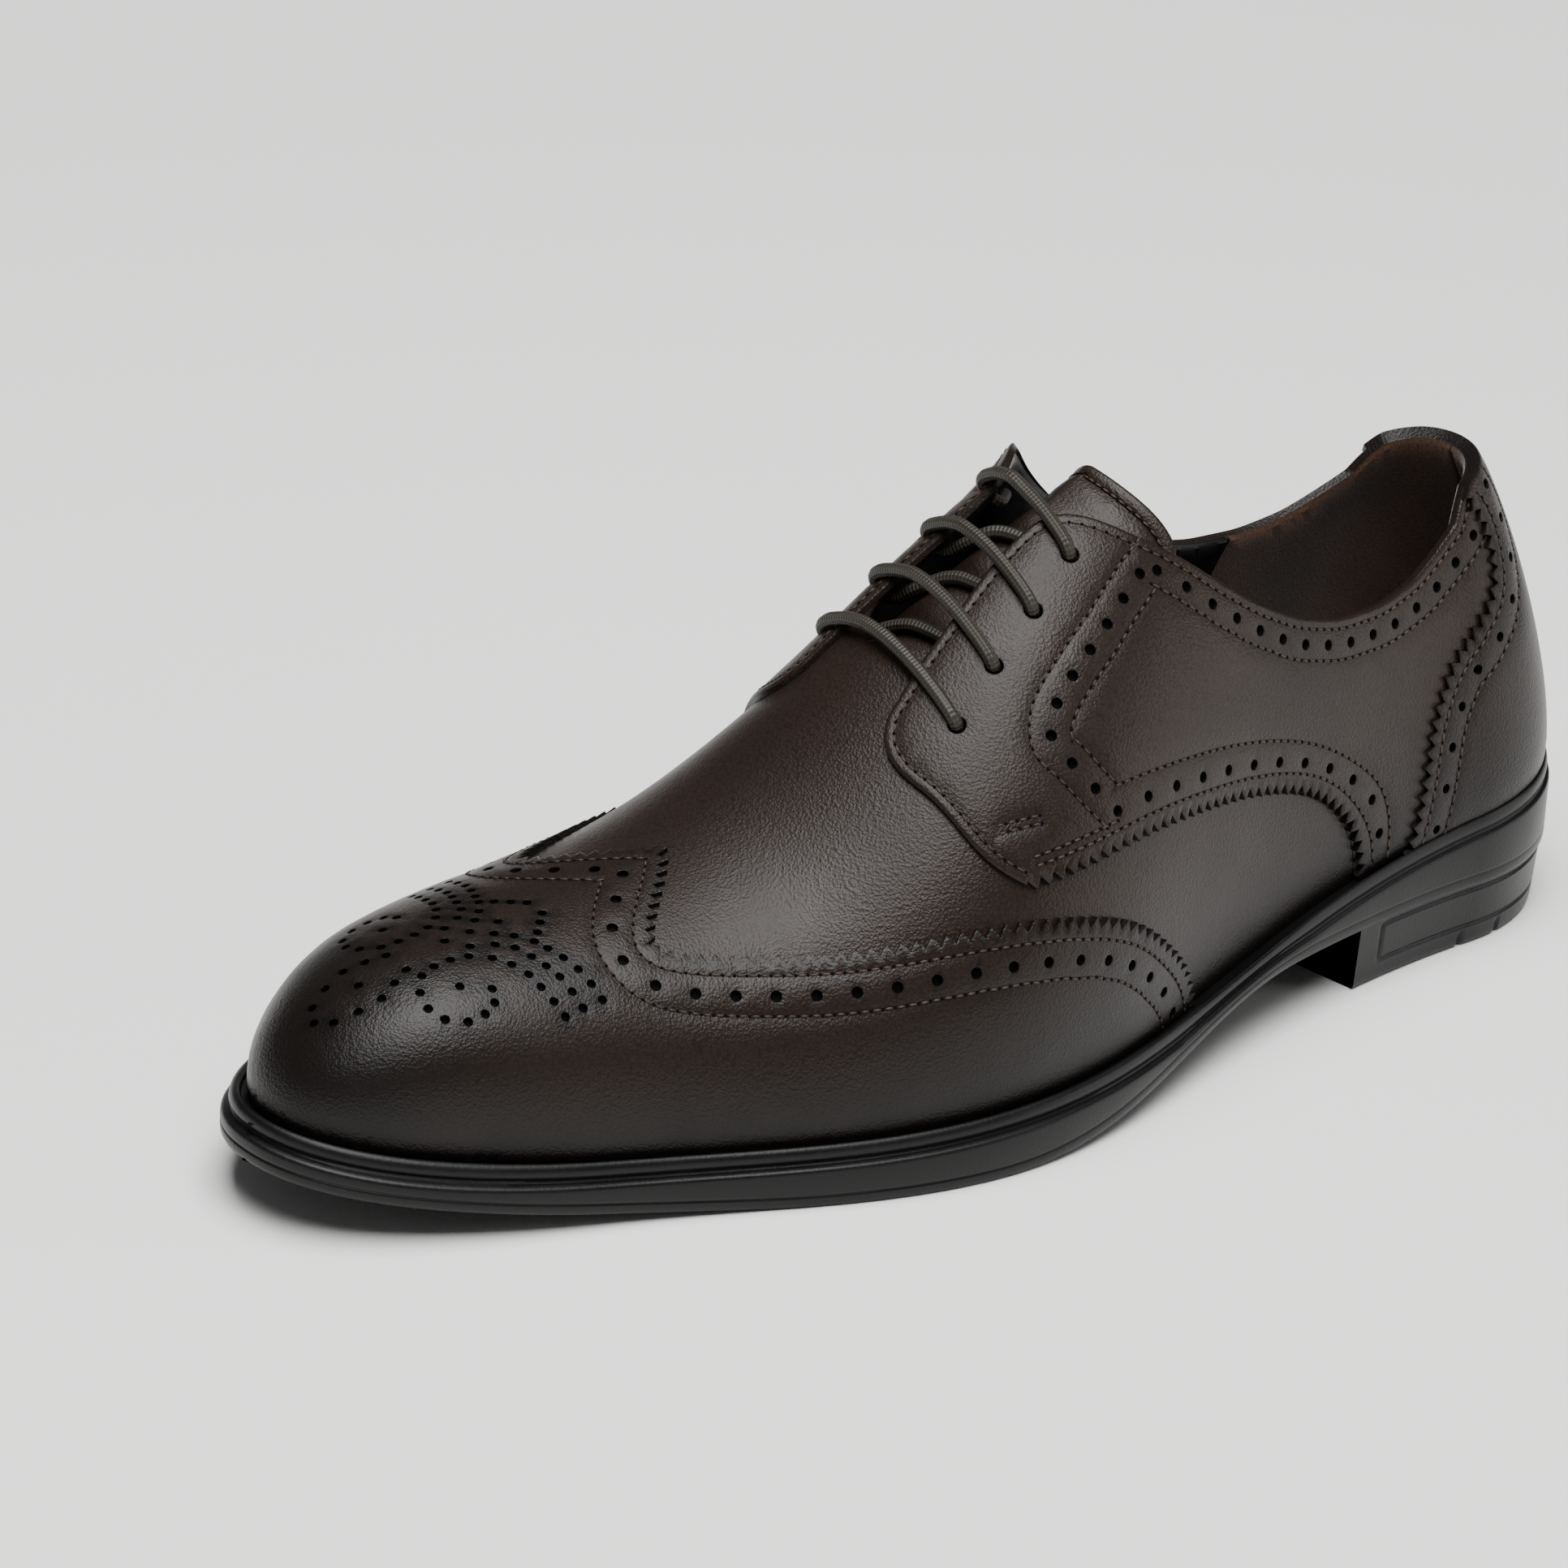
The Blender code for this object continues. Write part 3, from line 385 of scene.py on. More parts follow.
    def step(self, flat: np.ndarray, direction: np.ndarray) -> np.ndarray:
        """Return how the flat pattern's points move for a step in space that lies in the leather.

        Args:
            flat: Points of the flat pattern.
            direction: A step in millimetres for each point, as a vector in space.

        Returns:
            The step of each point in the flat pattern.
        """
        d = 0.05
        ways = [np.array(way) for way in ([d, 0.0], [0.0, d])]
        across, along = ((self.drape(flat + way, 0.0) - self.drape(flat - way, 0.0)) / (2 * d * MM)
                         for way in ways)
        aa, ab, bb = (across * across).sum(-1), (across * along).sum(-1), (along * along).sum(-1)
        ra, rb = (across * direction).sum(-1), (along * direction).sum(-1)
        det = aa * bb - ab * ab + 1e-9
        return np.stack([(ra * bb - rb * ab) / det, (rb * aa - ra * ab) / det], -1)


def run_length(points: np.ndarray) -> np.ndarray:
    """Return the length along a line of points, from its start."""
    return np.concatenate([[0.0], np.cumsum(np.linalg.norm(np.diff(points, axis=0), axis=1))])


def sample(points: np.ndarray, run: np.ndarray, wanted: np.ndarray) -> np.ndarray:
    """Return the points at the wanted lengths along a line."""
    return np.stack([np.interp(wanted, run, points[:, k]) for k in range(points.shape[1])], -1)


def curve_through(points: Sequence, count: int = 120) -> np.ndarray:
    """Draw a smooth curve through a few points of the flat pattern.

    Args:
        points: The points, in order.
        count: How many points the curve gets.

    Returns:
        The curve's points, evenly spaced by length.
    """
    points = np.array(points, float)
    run = run_length(points)
    wanted = np.linspace(0.0, run[-1], count)
    return np.stack([natural_spline(run, points[:, k])(wanted) for k in range(points.shape[1])], -1)


def evenly(last: Last, line: np.ndarray, pitch: float, ends: bool = True) -> np.ndarray:
    """Return points at an even pitch, measured over the form, along a line of the flat pattern.

    Args:
        last: The form.
        line: Points of the flat pattern.
        pitch: Distance between the points in millimetres.
        ends: True to start and stop on the line's ends, False to keep half a pitch from them.

    Returns:
        The points in the flat pattern.
    """
    run = run_length(last.drape(line, 0.0) / MM)
    count = max(1, round(run[-1] / pitch))
    wanted = np.linspace(0.0, run[-1], count + 1)
    if not ends:
        wanted = (wanted[1:] + wanted[:-1]) / 2
    return sample(line, run, wanted)


def tree_of(points: Sequence) -> KDTree:
    """Return a search tree of points in space, or of the flat pattern's points at height 0."""
    tree = KDTree(len(points))
    for index, point in enumerate(points):
        tree.insert((*point, 0.0)[:3], index)
    tree.balance()
    return tree


def left_of(last: Last, line: np.ndarray) -> tuple[np.ndarray, np.ndarray]:
    """Find the way to the left of a line of the flat pattern.

    Args:
        last: The form.
        line: Points of the flat pattern.

    Returns:
        The line's points over the form in millimetres, and unit steps to its left in space.
    """
    space = last.drape(line, 0.0) / MM
    tangent = np.gradient(space, axis=0)
    tangent /= np.linalg.norm(tangent, axis=1, keepdims=True) + 1e-12
    return space, np.cross(last.normals(*last.lay(line)), tangent)


def beside(last: Last, line: np.ndarray, distance: float, trim: bool = True) -> np.ndarray:
    """Draw a line beside a line of the flat pattern.

    Args:
        last: The form.
        line: Points of the flat pattern.
        distance: Millimetres between the two, to the left when positive.
        trim: True to leave out points that come too near the line again at its bends.

    Returns:
        The new line's points.
    """
    space, left = left_of(last, line)
    moved = line + last.step(line, left * distance)
    if not trim:
        return moved
    tree = tree_of(space)
    far = [tree.find(point)[2] > abs(distance) * 0.95 for point in last.drape(moved, 0.0) / MM]
    return moved[np.array(far)]


def pinked(last: Last, line: np.ndarray, pitch: float = 2.9, depth: float = 2.1) -> np.ndarray:
    """Cut a line of the flat pattern with pinking shears: a zigzag whose teeth point to the right.

    Args:
        last: The form.
        line: Points of the flat pattern.
        pitch: Millimetres from tooth to tooth.
        depth: Millimetres from the teeth's roots to their tips.

    Returns:
        The zigzag's points, roots and tips in turn.
    """
    roots = evenly(last, line, pitch)
    middle = evenly(last, line, pitch, ends=False)
    fine = evenly(last, line, 0.4)
    left = left_of(last, fine)[1]
    teeth = []
    for points, out in ((roots, depth / 2), (middle, -depth / 2)):
        nearest = np.array([np.argmin(((fine - point)**2).sum(1)) for point in points])
        teeth.append(points + last.step(points, left[nearest] * out))
    edge = np.empty((len(roots) + len(middle), 2))
    edge[0::2], edge[1::2] = teeth
    return edge


def tooth_gap_shadows(edge: np.ndarray, shade: float, calm: float, until: float = 1.0) -> list:
    """Find the gaps between the teeth of a pinked edge, each with the painted shadow on its floor.

    Args:
        edge: The edge as `pinked` gives it.
        shade: How dark the painted shadow in the gaps is.
        calm: How dark the painted shadow is past the share `until` of the edge.
        until: Share of the edge's length.

    Returns:
        Three-cornered outlines with their shades.
    """
    return [(edge[k:k + 3], shade if k < until * len(edge) else calm) for k in range(1, len(edge) - 2, 2)]


def hole(last: Last, centre: Sequence, diameter: float, sides: int = 12) -> np.ndarray:
    """Punch a round hole through the leather.

    Args:
        last: The form.
        centre: Its middle in the flat pattern.
        diameter: Its width over the form in millimetres.
        sides: How many corners its ring gets.

    Returns:
        The ring's points in the flat pattern.
    """
    flat = np.repeat(np.array([centre], float), sides, 0)
    normal = last.normals(*last.lay(flat[:1]))[0]
    first = np.cross(normal, [0.0, 1.0, 0.0])
    first /= np.linalg.norm(first)
    second = np.cross(normal, first)
    angle = np.linspace(0.0, 2 * math.pi, sides, endpoint=False)[:, None]
    return flat + last.step(flat, (first * np.cos(angle) + second * np.sin(angle)) * diameter / 2)


def inside(points: np.ndarray, outline: np.ndarray) -> np.ndarray:
    """Find which points of the flat pattern lie inside a closed outline.

    Args:
        points: Points of the flat pattern.
        outline: The outline's corners, in order.

    Returns:
        True for each point inside.
    """
    result = np.zeros(len(points), bool)
    ends = np.roll(outline, -1, 0)
    for (x0, y0), (x1, y1) in zip(outline, ends):
        if y0 == y1:
            continue
        crosses = (points[:, 1] > y0) != (points[:, 1] > y1)
        result ^= crosses & (points[:, 0] < (x1 - x0) * (points[:, 1] - y0) / (y1 - y0) + x0)
    return result


def area_of(outline: np.ndarray) -> float:
    """Return the signed area of a closed outline, positive when it runs anticlockwise."""
    x, y = outline[:, 0], outline[:, 1]
    return float((x * np.roll(y, -1) - np.roll(x, -1) * y).sum() / 2)


def drawn_in(outline: np.ndarray, distance: float) -> np.ndarray:
    """Move the corners of a closed outline inwards.

    Args:
        outline: The outline's corners, in order.
        distance: How far its sides move.

    Returns:
        The moved corners.
    """
    before, after = outline - np.roll(outline, 1, 0), np.roll(outline, -1, 0) - outline
    before /= np.linalg.norm(before, axis=1, keepdims=True) + 1e-12
    after /= np.linalg.norm(after, axis=1, keepdims=True) + 1e-12
    inward = np.stack([-(before + after)[:, 1], (before + after)[:, 0]], -1)
    inward /= np.linalg.norm(inward, axis=1, keepdims=True) + 1e-12
    side = np.stack([-after[:, 1], after[:, 0]], -1)
    cosine = np.clip((inward * side).sum(1, keepdims=True), 0.5, 1.0)
    return outline + inward * distance / cosine * (1.0 if area_of(outline) > 0 else -1.0)


@dataclass
class Cutting:
    """One piece of leather as it is cut flat: its outline, punched holes and pressed seams."""

    outline: np.ndarray
    holes: list = field(default_factory=list)
    seams: list = field(default_factory=list)
    # Lifts of its two faces off the form, and how it gives at its edges, seams and holes, in metres
    low: float = 0.00005
    high: float = 0.00125
    edge_roll: float = 0.00022
    seam_sink: float = 0.00020
    swell: float = 0.00017
    hole_roll: float = 0.00006
    under_roll: float = 0.0
    seam_groove: float = 0.00003
    # How much painted shade darkens its seams, its cut edges and the open leather beside them, from 0 to 1;
    # at cut edges it is partly the raw cut's own dark
    seam_shade: float = 0.25
    edge_shade: float = 1.0
    seam_side_shade: float = 0.15
    open_shade: float = 0.3
    # Width of the ring of points round a punched hole, as a share of the hole's
    hole_rim: float = 1.22
    # Millimetres in the flat pattern
    spacing: float = 2.6
    edge_rims: tuple = (0.35, 0.8)
    seam_step: float = 1.15
    seam_side: float = 0.55
    clearance: float = 0.2
    hole_reach: float = 6.0
    swell_reach: float = 5.0
    shade_reach: float = 2.5
    # The first holes get a floor of painted shadow, as the gaps between the teeth do, at lifts in metres
    floored: int = 0
    floor_lift: float = 0.00018
    gap_shadow_lift: float = 0.00006
    gap_shadows: list = field(default_factory=list)
    depth: Optional[Callable] = None

    def mesh(self, last: Last) -> bmesh.types.BMesh:
        """Return the closed solid of the piece, laid over the form.

        Args:
            last: The form that the piece is laid over.

        Returns:
            A mesh with a point layer named shade that holds painted shade: 1 at cut edges and in seams, 0
            on open leather; at cut edges it is partly the raw cut's own dark.
        """
        points, drops, shades, edges = [], [], [], []

        def add(group: np.ndarray, drop: float, shade: float) -> int:
            """Take in a group of points and return the number of its first."""
            start = len(points)
            points.extend(group.tolist())
            drops.extend([drop] * len(group))
            shades.extend([shade] * len(group))
            return start

        # Cut edges and hole rims start fully in painted shade; at cut edges that dark is partly the raw
        # cut's own
        rings = [self.outline] + self.holes
        looks = [(self.edge_roll, self.edge_shade)] + [(self.hole_roll, 1.0)] * len(self.holes)
        for ring, (drop, shade) in zip(rings, looks):
            start = add(ring, drop, shade)
            edges += [(start + k, start + (k + 1) % len(ring)) for k in range(len(ring))]
        # Rings inside the edge and round the holes, and lines beside and in the seams, carry a fading
        # painted shade
        near_rim, far_rim = (drawn_in(self.outline, distance) for distance in self.edge_rims)
        soft = [(near_rim, self.edge_roll * 0.25, 0.3), (far_rim, 0.0, 0.1)]
        for ring in self.holes:
            centre = ring.mean(0)
            soft.append((centre + (ring - centre) * self.hole_rim, 0.0, 0.1))
        grooves = [evenly(last, seam, self.seam_step) for seam in self.seams]
        for groove in grooves:
            for away in (self.seam_side, -self.seam_side):
                line = beside(last, groove, away, trim=False)
                soft.append((line, self.seam_groove, self.seam_side_shade))
        tree = tree_of(np.vstack(rings))
        soft += [(groove, self.seam_sink, self.seam_shade) for groove in grooves]
        for number, (group, drop, shade) in enumerate(soft):
            clear = np.array([tree.find((*point, 0.0))[2] > self.clearance for point in group])
            within = inside(group, self.outline) & clear
            for ring in self.holes:
                near = np.abs(group - ring.mean(0)).max(1) < self.hole_reach
                within[near] &= ~inside(group[near], ring)
            start = add(group[within], drop, shade)
            if number >= len(soft) - len(grooves):
                kept = np.flatnonzero(within)
                edges += [(start + k, start + k + 1) for k in np.flatnonzero(np.diff(kept) == 1).tolist()]
        self.fill(points, drops, shades, np.vstack([self.outline, *grooves]))
        return self.raise_solid(last, points, drops, shades, edges)

    def fill(self, points: list, drops: list, shades: list, lines: np.ndarray) -> None:
        """Fill the open leather with points clear of edges, holes and seams, and swell it between them.

        Args:
            points: The flat points so far, to which the new ones are added.
            drops: How far each lies below the face, in metres.
            shades: How much painted shade each gets.
            lines: Points of the edge and the seams, where the leather is held down.
        """
        low, high = self.outline.min(0), self.outline.max(0)
        columns = np.arange(low[0], high[0], self.spacing)
        rows = np.arange(low[1], high[1], self.spacing * 0.87)
        grid = np.array([(x + (n % 2) * self.spacing / 2, y) for n, y in enumerate(rows) for x in columns])
        grid = grid[inside(grid, self.outline)]
        tree, seams = tree_of(points), tree_of(lines)
        for index, point in enumerate(points):
            drops[index] -= self.swell * float(smooth(seams.find((*point, 0.0))[2] / self.swell_reach))
        clear = self.spacing * 0.45
        for point in grid:
            spot = (*point, 0.0)
            if tree.find(spot)[2] < clear:
                continue
            close = [ring for ring in self.holes if np.hypot(*(ring.mean(0) - point)) < self.hole_reach]
            if any(inside(point[None], ring)[0] for ring in close):
                continue
            away = seams.find(spot)[2]
            points.append(point.tolist())
            drops.append(-self.swell * float(smooth(away / self.swell_reach)))
            # Painted shade on the open leather, fading over 2.5 mm from edges and seams
            shades.append(float(self.open_shade * (1.0 - smooth(away / self.shade_reach))))

    def around_holes(self, verts: np.ndarray, faces: list) -> list:
        """Find the triangles that don't lie in a punched hole.

        Args:
            verts: The flat points.
            faces: Three numbers of points for each triangle.

        Returns:
            The faces to keep.
        """
        middles = np.array([verts[list(face)].mean(0) for face in faces])
        within = np.zeros(len(faces), bool)
        for ring in self.holes:
            near = np.abs(middles - ring.mean(0)).max(1) < self.hole_reach
            within[near] |= inside(middles[near], ring)
        return [face for face, covered in zip(faces, within) if not covered]

    def raise_solid(self, last: Last, points: list, drops: list, shades: list,
                    edges: list) -> bmesh.types.BMesh:
        """Triangulate the flat piece, give it its thickness and lay it over the form.

        Args:
            last: The form.
            points: The flat points.
            drops: How far each lies below the face, in metres.
            shades: How much painted shade each gets.
            edges: Pairs of points that the triangles keep: cut edges and seams.

        Returns:
            The closed solid, with the floors of painted shadow in its gaps and holes.
        """
        flat = [Vector(point) for point in points]
        verts, _, faces, origins, _, _ = delaunay_2d_cdt(flat, edges, [], 1, 1e-4)
        faces = self.around_holes(np.array([point[:] for point in verts]), faces)
        drop = [drops[group[0]] if group else 0.0 for group in origins]
        shade = [shades[group[0]] if group else 0.5 for group in origins]
        bm = bmesh.new()
        layer = bm.verts.layers.float.new("shade")
        under = bm.verts.layers.float.new("under")
        across, along = bm.verts.layers.float.new("flat_x"), bm.verts.layers.float.new("flat_y")
        row = bm.verts.layers.int.new("row")
        made = [bm.verts.new((point[0], point[1], 0.0)) for point in verts]
        for index, vert in enumerate(made):
            vert[layer] = shade[index]
            vert[row] = index
        for face in faces:
            bm.faces.new([made[k] for k in face])
        bmesh.ops.delete(bm, geom=[vert for vert in bm.verts if not vert.link_faces], context="VERTS")
        top = bmesh.ops.extrude_face_region(bm, geom=bm.faces[:], use_keep_orig=True)
        upper = {item for item in top["geom"] if isinstance(item, bmesh.types.BMVert)}
        flats = np.array([vert.co[:2] for vert in bm.verts])
        lifts = np.array([self.high - drop[vert[row]] if vert in upper
                          else self.low + self.under_roll * vert[layer]**0.7 for vert in bm.verts])
        if self.depth:
            lifts = lifts - self.depth(*last.lay(flats))
        for vert, flat_point, place in zip(bm.verts, flats, last.drape(flats, lifts)):
            vert.co = place
            vert[across], vert[along] = flat_point
            # The underside and the cut walls get painted shade, partly the raw cut's own dark
            if vert not in upper:
                vert[layer], vert[under] = min(0.85, self.edge_shade + 0.15), 1.0
        seam_y = last.ys[0] + 1e-3
        walls = [face for face in bm.faces if all(vert[along] < seam_y for vert in face.verts)]
        bmesh.ops.delete(bm, geom=walls, context="FACES_ONLY")
        bmesh.ops.remove_doubles(bm, verts=bm.verts[:], dist=2e-5)
        bmesh.ops.recalc_face_normals(bm, faces=bm.faces[:])
        # Holes with a floor get a near-black disc of painted shadow
        for ring in self.holes[:self.floored]:
            self.add_floor(last, bm, ring, 1.0, FLOOR)
        for ring, shade in self.gap_shadows:
            self.add_floor(last, bm, ring, shade, FACE)
        return bm

    def add_floor(self, last: Last, bm: bmesh.types.BMesh, ring: np.ndarray, shade: float,
                  finish: int) -> None:
        """Close the foot of a punched hole or of a gap between two teeth with a face of painted shadow.

        Args:
            last: The form.
            bm: The piece's mesh.
            ring: The hole's or the gap's corners in the flat pattern.
            shade: How dark the painted shadow is.
            finish: The face's material number, FLOOR in a hole and FACE in a gap.
        """
        centre = ring.mean(0)
        flats = centre + (ring - centre) * 1.03
        disc = bmesh.ops.create_circle(bm, cap_ends=True, radius=1.0, segments=len(ring))["verts"]
        lifts = np.full(len(ring), self.low + (self.floor_lift if finish == FLOOR else self.gap_shadow_lift))
        for vert, flat_point, place in zip(disc, flats, last.drape(flats, lifts)):
            vert.co = place
            vert[bm.verts.layers.float["shade"]] = shade
            vert[bm.verts.layers.float["flat_x"]], vert[bm.verts.layers.float["flat_y"]] = flat_point
        floor = next(face for face in disc[0].link_faces)
        floor.material_index = finish
        floor.normal_update()
        if floor.normal.dot(Vector(last.normals(*last.lay(centre[None]))[0])) < 0:
            floor.normal_flip()


def face_places(bm: bmesh.types.BMesh) -> np.ndarray:
    """Return the middle of each face in the flat pattern."""
    layers = [bm.verts.layers.float[name] for name in ("flat_x", "flat_y")]
    return np.array([[sum(vert[layer] for vert in face.verts) / len(face.verts) for layer in layers]
                     for face in bm.faces])


def finish_piece(name: str, bm: bmesh.types.BMesh, finishes: Sequence, nodes: Sequence = (),
                 sharp: float = 42.0) -> bpy.types.Object:
    """Make a finished piece of a mesh, smooth but for its sharp edges, and tie it to the frame.

    Args:
        name: Name of the piece.
        bm: Its mesh, which is freed.
        finishes: Its materials, in the order of its faces' numbers.
        nodes: CAD nodes that it stands for.
        sharp: Angle in degrees past which an edge is drawn sharp.

    Returns:
        The object.
    """
    mesh = bpy.data.meshes.new(name)
    bm.to_mesh(mesh)
    bm.free()
    mesh.shade_smooth()
    mesh.set_sharp_from_angle(angle=math.radians(sharp))
    for finish in finishes:
        mesh.materials.append(finish)
    item = bpy.data.objects.new(name, mesh)
    bpy.context.scene.collection.objects.link(item)
    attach(item, "root")
    if nodes:
        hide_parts(*nodes)
    LOG.info("%s: %d faces", name, len(mesh.polygons))
    return item


def linear(code: str) -> tuple[float, float, float, float]:
    """Return the linear colour, with full cover, of an sRGB hex value such as "#271d18"."""
    parts = [int(code[k:k + 2], 16) / 255 for k in (1, 3, 5)]
    return (*(c / 12.92 if c <= 0.04045 else ((c + 0.055) / 1.055)**2.4 for c in parts), 1.0)


def add_node(tree: bpy.types.NodeTree, kind: str, inputs: Optional[dict] = None,
             **settings: object) -> bpy.types.Node:
    """Add a shader node.

    Args:
        tree: The material's node tree.
        kind: The node's type, without its prefix.
        inputs: A value, or a socket to link, for each input by name or number.
        settings: The node's own settings.

    Returns:
        The node.
    """
    item = tree.nodes.new("ShaderNode" + kind)
    for name, value in settings.items():
        setattr(item, name, value)
    for name, value in (inputs or {}).items():
        if isinstance(value, bpy.types.NodeSocket):
            tree.links.new(value, item.inputs[name])
        else:
            item.inputs[name].default_value = value
    return item


def start_material(name: str) -> tuple[bpy.types.Material, bpy.types.NodeTree, bpy.types.Node]:
    """Return a new material, its tree and its Principled shader."""
    finish = bpy.data.materials.new(name)
    finish.use_nodes = True
    tree = finish.node_tree
    return finish, tree, tree.nodes["Principled BSDF"]


@dataclass(frozen=True)
class Calf:
    """Aniline-dyed calf leather with a fine pressed grain, waxed to a satin: soft wide highlights broken
    by a pebble of small cells, near black where it was burnished by hand."""

    name: str
    colour: str = "#271d18"
    dark: str = "#110d0b"
    # seam is the colour of that painted shade and of the raw cut's own dark at cut edges; it also tints the
    # raised walls between the grain's cells
    seam: str = "#0b0807"
    grain_mm: float = 0.60
    grain_blend: float = 0.35
    roughness: float = 0.34
    grain_depth: float = 0.22
    # The cells' walls wander 0.4 mm; the noises have 900, 3500 and 34 waves a metre: 1.1, 0.3 and 29 mm
    wander: float = 0.0004
    wander_waves: float = 900.0
    pore_waves: float = 3500.0
    cloud_waves: float = 34.0
    cloud_tone: float = 0.35
    pit_tone: float = 0.45

    def material(self) -> bpy.types.Material:
        """Build the material from the object's coordinates, the piece's painted shade and its burnish."""
        finish, tree, shader = start_material(self.name)
        place = add_node(tree, "TexCoord").outputs["Object"]
        wander = add_node(tree, "TexNoise", {"Vector": place, "Scale": self.wander_waves, "Detail": 1.0})
        scaled = add_node(tree, "VectorMath", {0: wander.outputs["Color"], "Scale": self.wander},
                          operation="SCALE")
        shifted = add_node(tree, "VectorMath", {0: place, 1: scaled.outputs[0]}, operation="ADD")
        grain = 1.0 / (self.grain_mm * MM)
        cells = add_node(tree, "TexVoronoi", {"Vector": shifted.outputs[0], "Scale": grain},
                         feature="SMOOTH_F1")
        cells.inputs["Smoothness"].default_value = self.grain_blend
        cell = cells.outputs["Distance"]
        pores = add_node(tree, "TexNoise", {"Vector": place, "Scale": self.pore_waves, "Detail": 2.0})
        relief = add_node(tree, "Math", {0: cell, 1: pores.outputs["Fac"]}, operation="ADD")
        bump = add_node(tree, "Bump", {"Height": relief.outputs[0], "Strength": self.grain_depth,
                                       "Distance": 0.0005})
        cloud = add_node(tree, "TexNoise", {"Vector": place, "Scale": self.cloud_waves, "Detail": 3.0,
                                            "Roughness": 0.55}).outputs["Fac"]
        burnish = add_node(tree, "Attribute", attribute_name="burnish")
        shade = add_node(tree, "Attribute", attribute_name="shade")
        tone = add_node(tree, "MapRange", {"Value": cloud, "From Min": 0.35, "From Max": 0.75,
                                           "To Min": 0.0, "To Max": self.cloud_tone})
        both = add_node(tree, "Math", {0: tone.outputs[0], 1: burnish.outputs["Fac"]}, operation="ADD",
                        use_clamp=True)
        base = add_node(tree, "Mix", {"Factor": both.outputs[0], "A": linear(self.colour),
                                      "B": linear(self.dark)}, data_type="RGBA")
        pits = add_node(tree, "MapRange", {"Value": cell, "From Min": 0.30, "From Max": 0.75,
                                           "To Min": 0.0, "To Max": self.pit_tone})
        grained = add_node(tree, "Mix", {"Factor": pits.outputs[0], "A": base.outputs["Result"],
                                         "B": linear(self.seam)}, data_type="RGBA")
        # The shade layer mixes in painted shade: in and beside the seams, on cut walls and hole rims, and
        # on the floors between teeth; at cut edges it is partly the raw cut's own dark
        sewn = add_node(tree, "Mix", {"Factor": shade.outputs["Fac"], "A": grained.outputs["Result"],
                                      "B": linear(self.seam)}, data_type="RGBA")
        gloss = add_node(tree, "MapRange", {
            "Value": cloud, "From Min": 0.3, "From Max": 0.7,
            "To Min": self.roughness - 0.05, "To Max": self.roughness + 0.06})
        tree.links.new(sewn.outputs["Result"], shader.inputs["Base Color"])
        tree.links.new(gloss.outputs[0], shader.inputs["Roughness"])
        tree.links.new(bump.outputs[0], shader.inputs["Normal"])
        shader.inputs["IOR"].default_value = 1.46
        shader.inputs["Specular IOR Level"].default_value = 0.25
        return finish


@dataclass(frozen=True)
class Plain:
    """A plain finish, such as lining, suede, thread or rubber: fine specks in its colour and relief, and
    slow clouds of 22 mm in its colour and gloss, so that no two places shine quite alike."""

    name: str
    colour: str
    dark: str
    speck_mm: float
    relief: float
    roughness: float
    sheen: float = 0.0
    level: float = 0.35
    cloud_waves: float = 45.0

    def material(self) -> bpy.types.Material:
        """Build the material from the object's coordinates."""
        finish, tree, shader = start_material(self.name)
        place = add_node(tree, "TexCoord").outputs["Object"]
        waves = 0.5 / (self.speck_mm * MM)
        speck = add_node(tree, "TexNoise", {"Vector": place, "Scale": waves, "Detail": 3.0}).outputs["Fac"]
        cloud = add_node(tree, "TexNoise", {"Vector": place, "Scale": self.cloud_waves,
                                            "Detail": 2.0}).outputs["Fac"]
        both = add_node(tree, "Math", {0: speck, 1: cloud}, operation="MULTIPLY")
        tone = add_node(tree, "MapRange", {"Value": both.outputs[0], "From Min": 0.12, "From Max": 0.40})
        base = add_node(tree, "Mix", {"Factor": tone.outputs[0], "A": linear(self.dark),
                                      "B": linear(self.colour)}, data_type="RGBA")
        bump = add_node(tree, "Bump", {"Height": speck, "Strength": self.relief, "Distance": 0.0004})
        gloss = add_node(tree, "MapRange", {
            "Value": cloud, "From Min": 0.3, "From Max": 0.7,
            "To Min": self.roughness - 0.05, "To Max": self.roughness + 0.05})
        tree.links.new(base.outputs["Result"], shader.inputs["Base Color"])
        tree.links.new(gloss.outputs[0], shader.inputs["Roughness"])
        tree.links.new(bump.outputs[0], shader.inputs["Normal"])
        shader.inputs["Sheen Weight"].default_value = self.sheen
        shader.inputs["Specular IOR Level"].default_value = self.level
        return finish


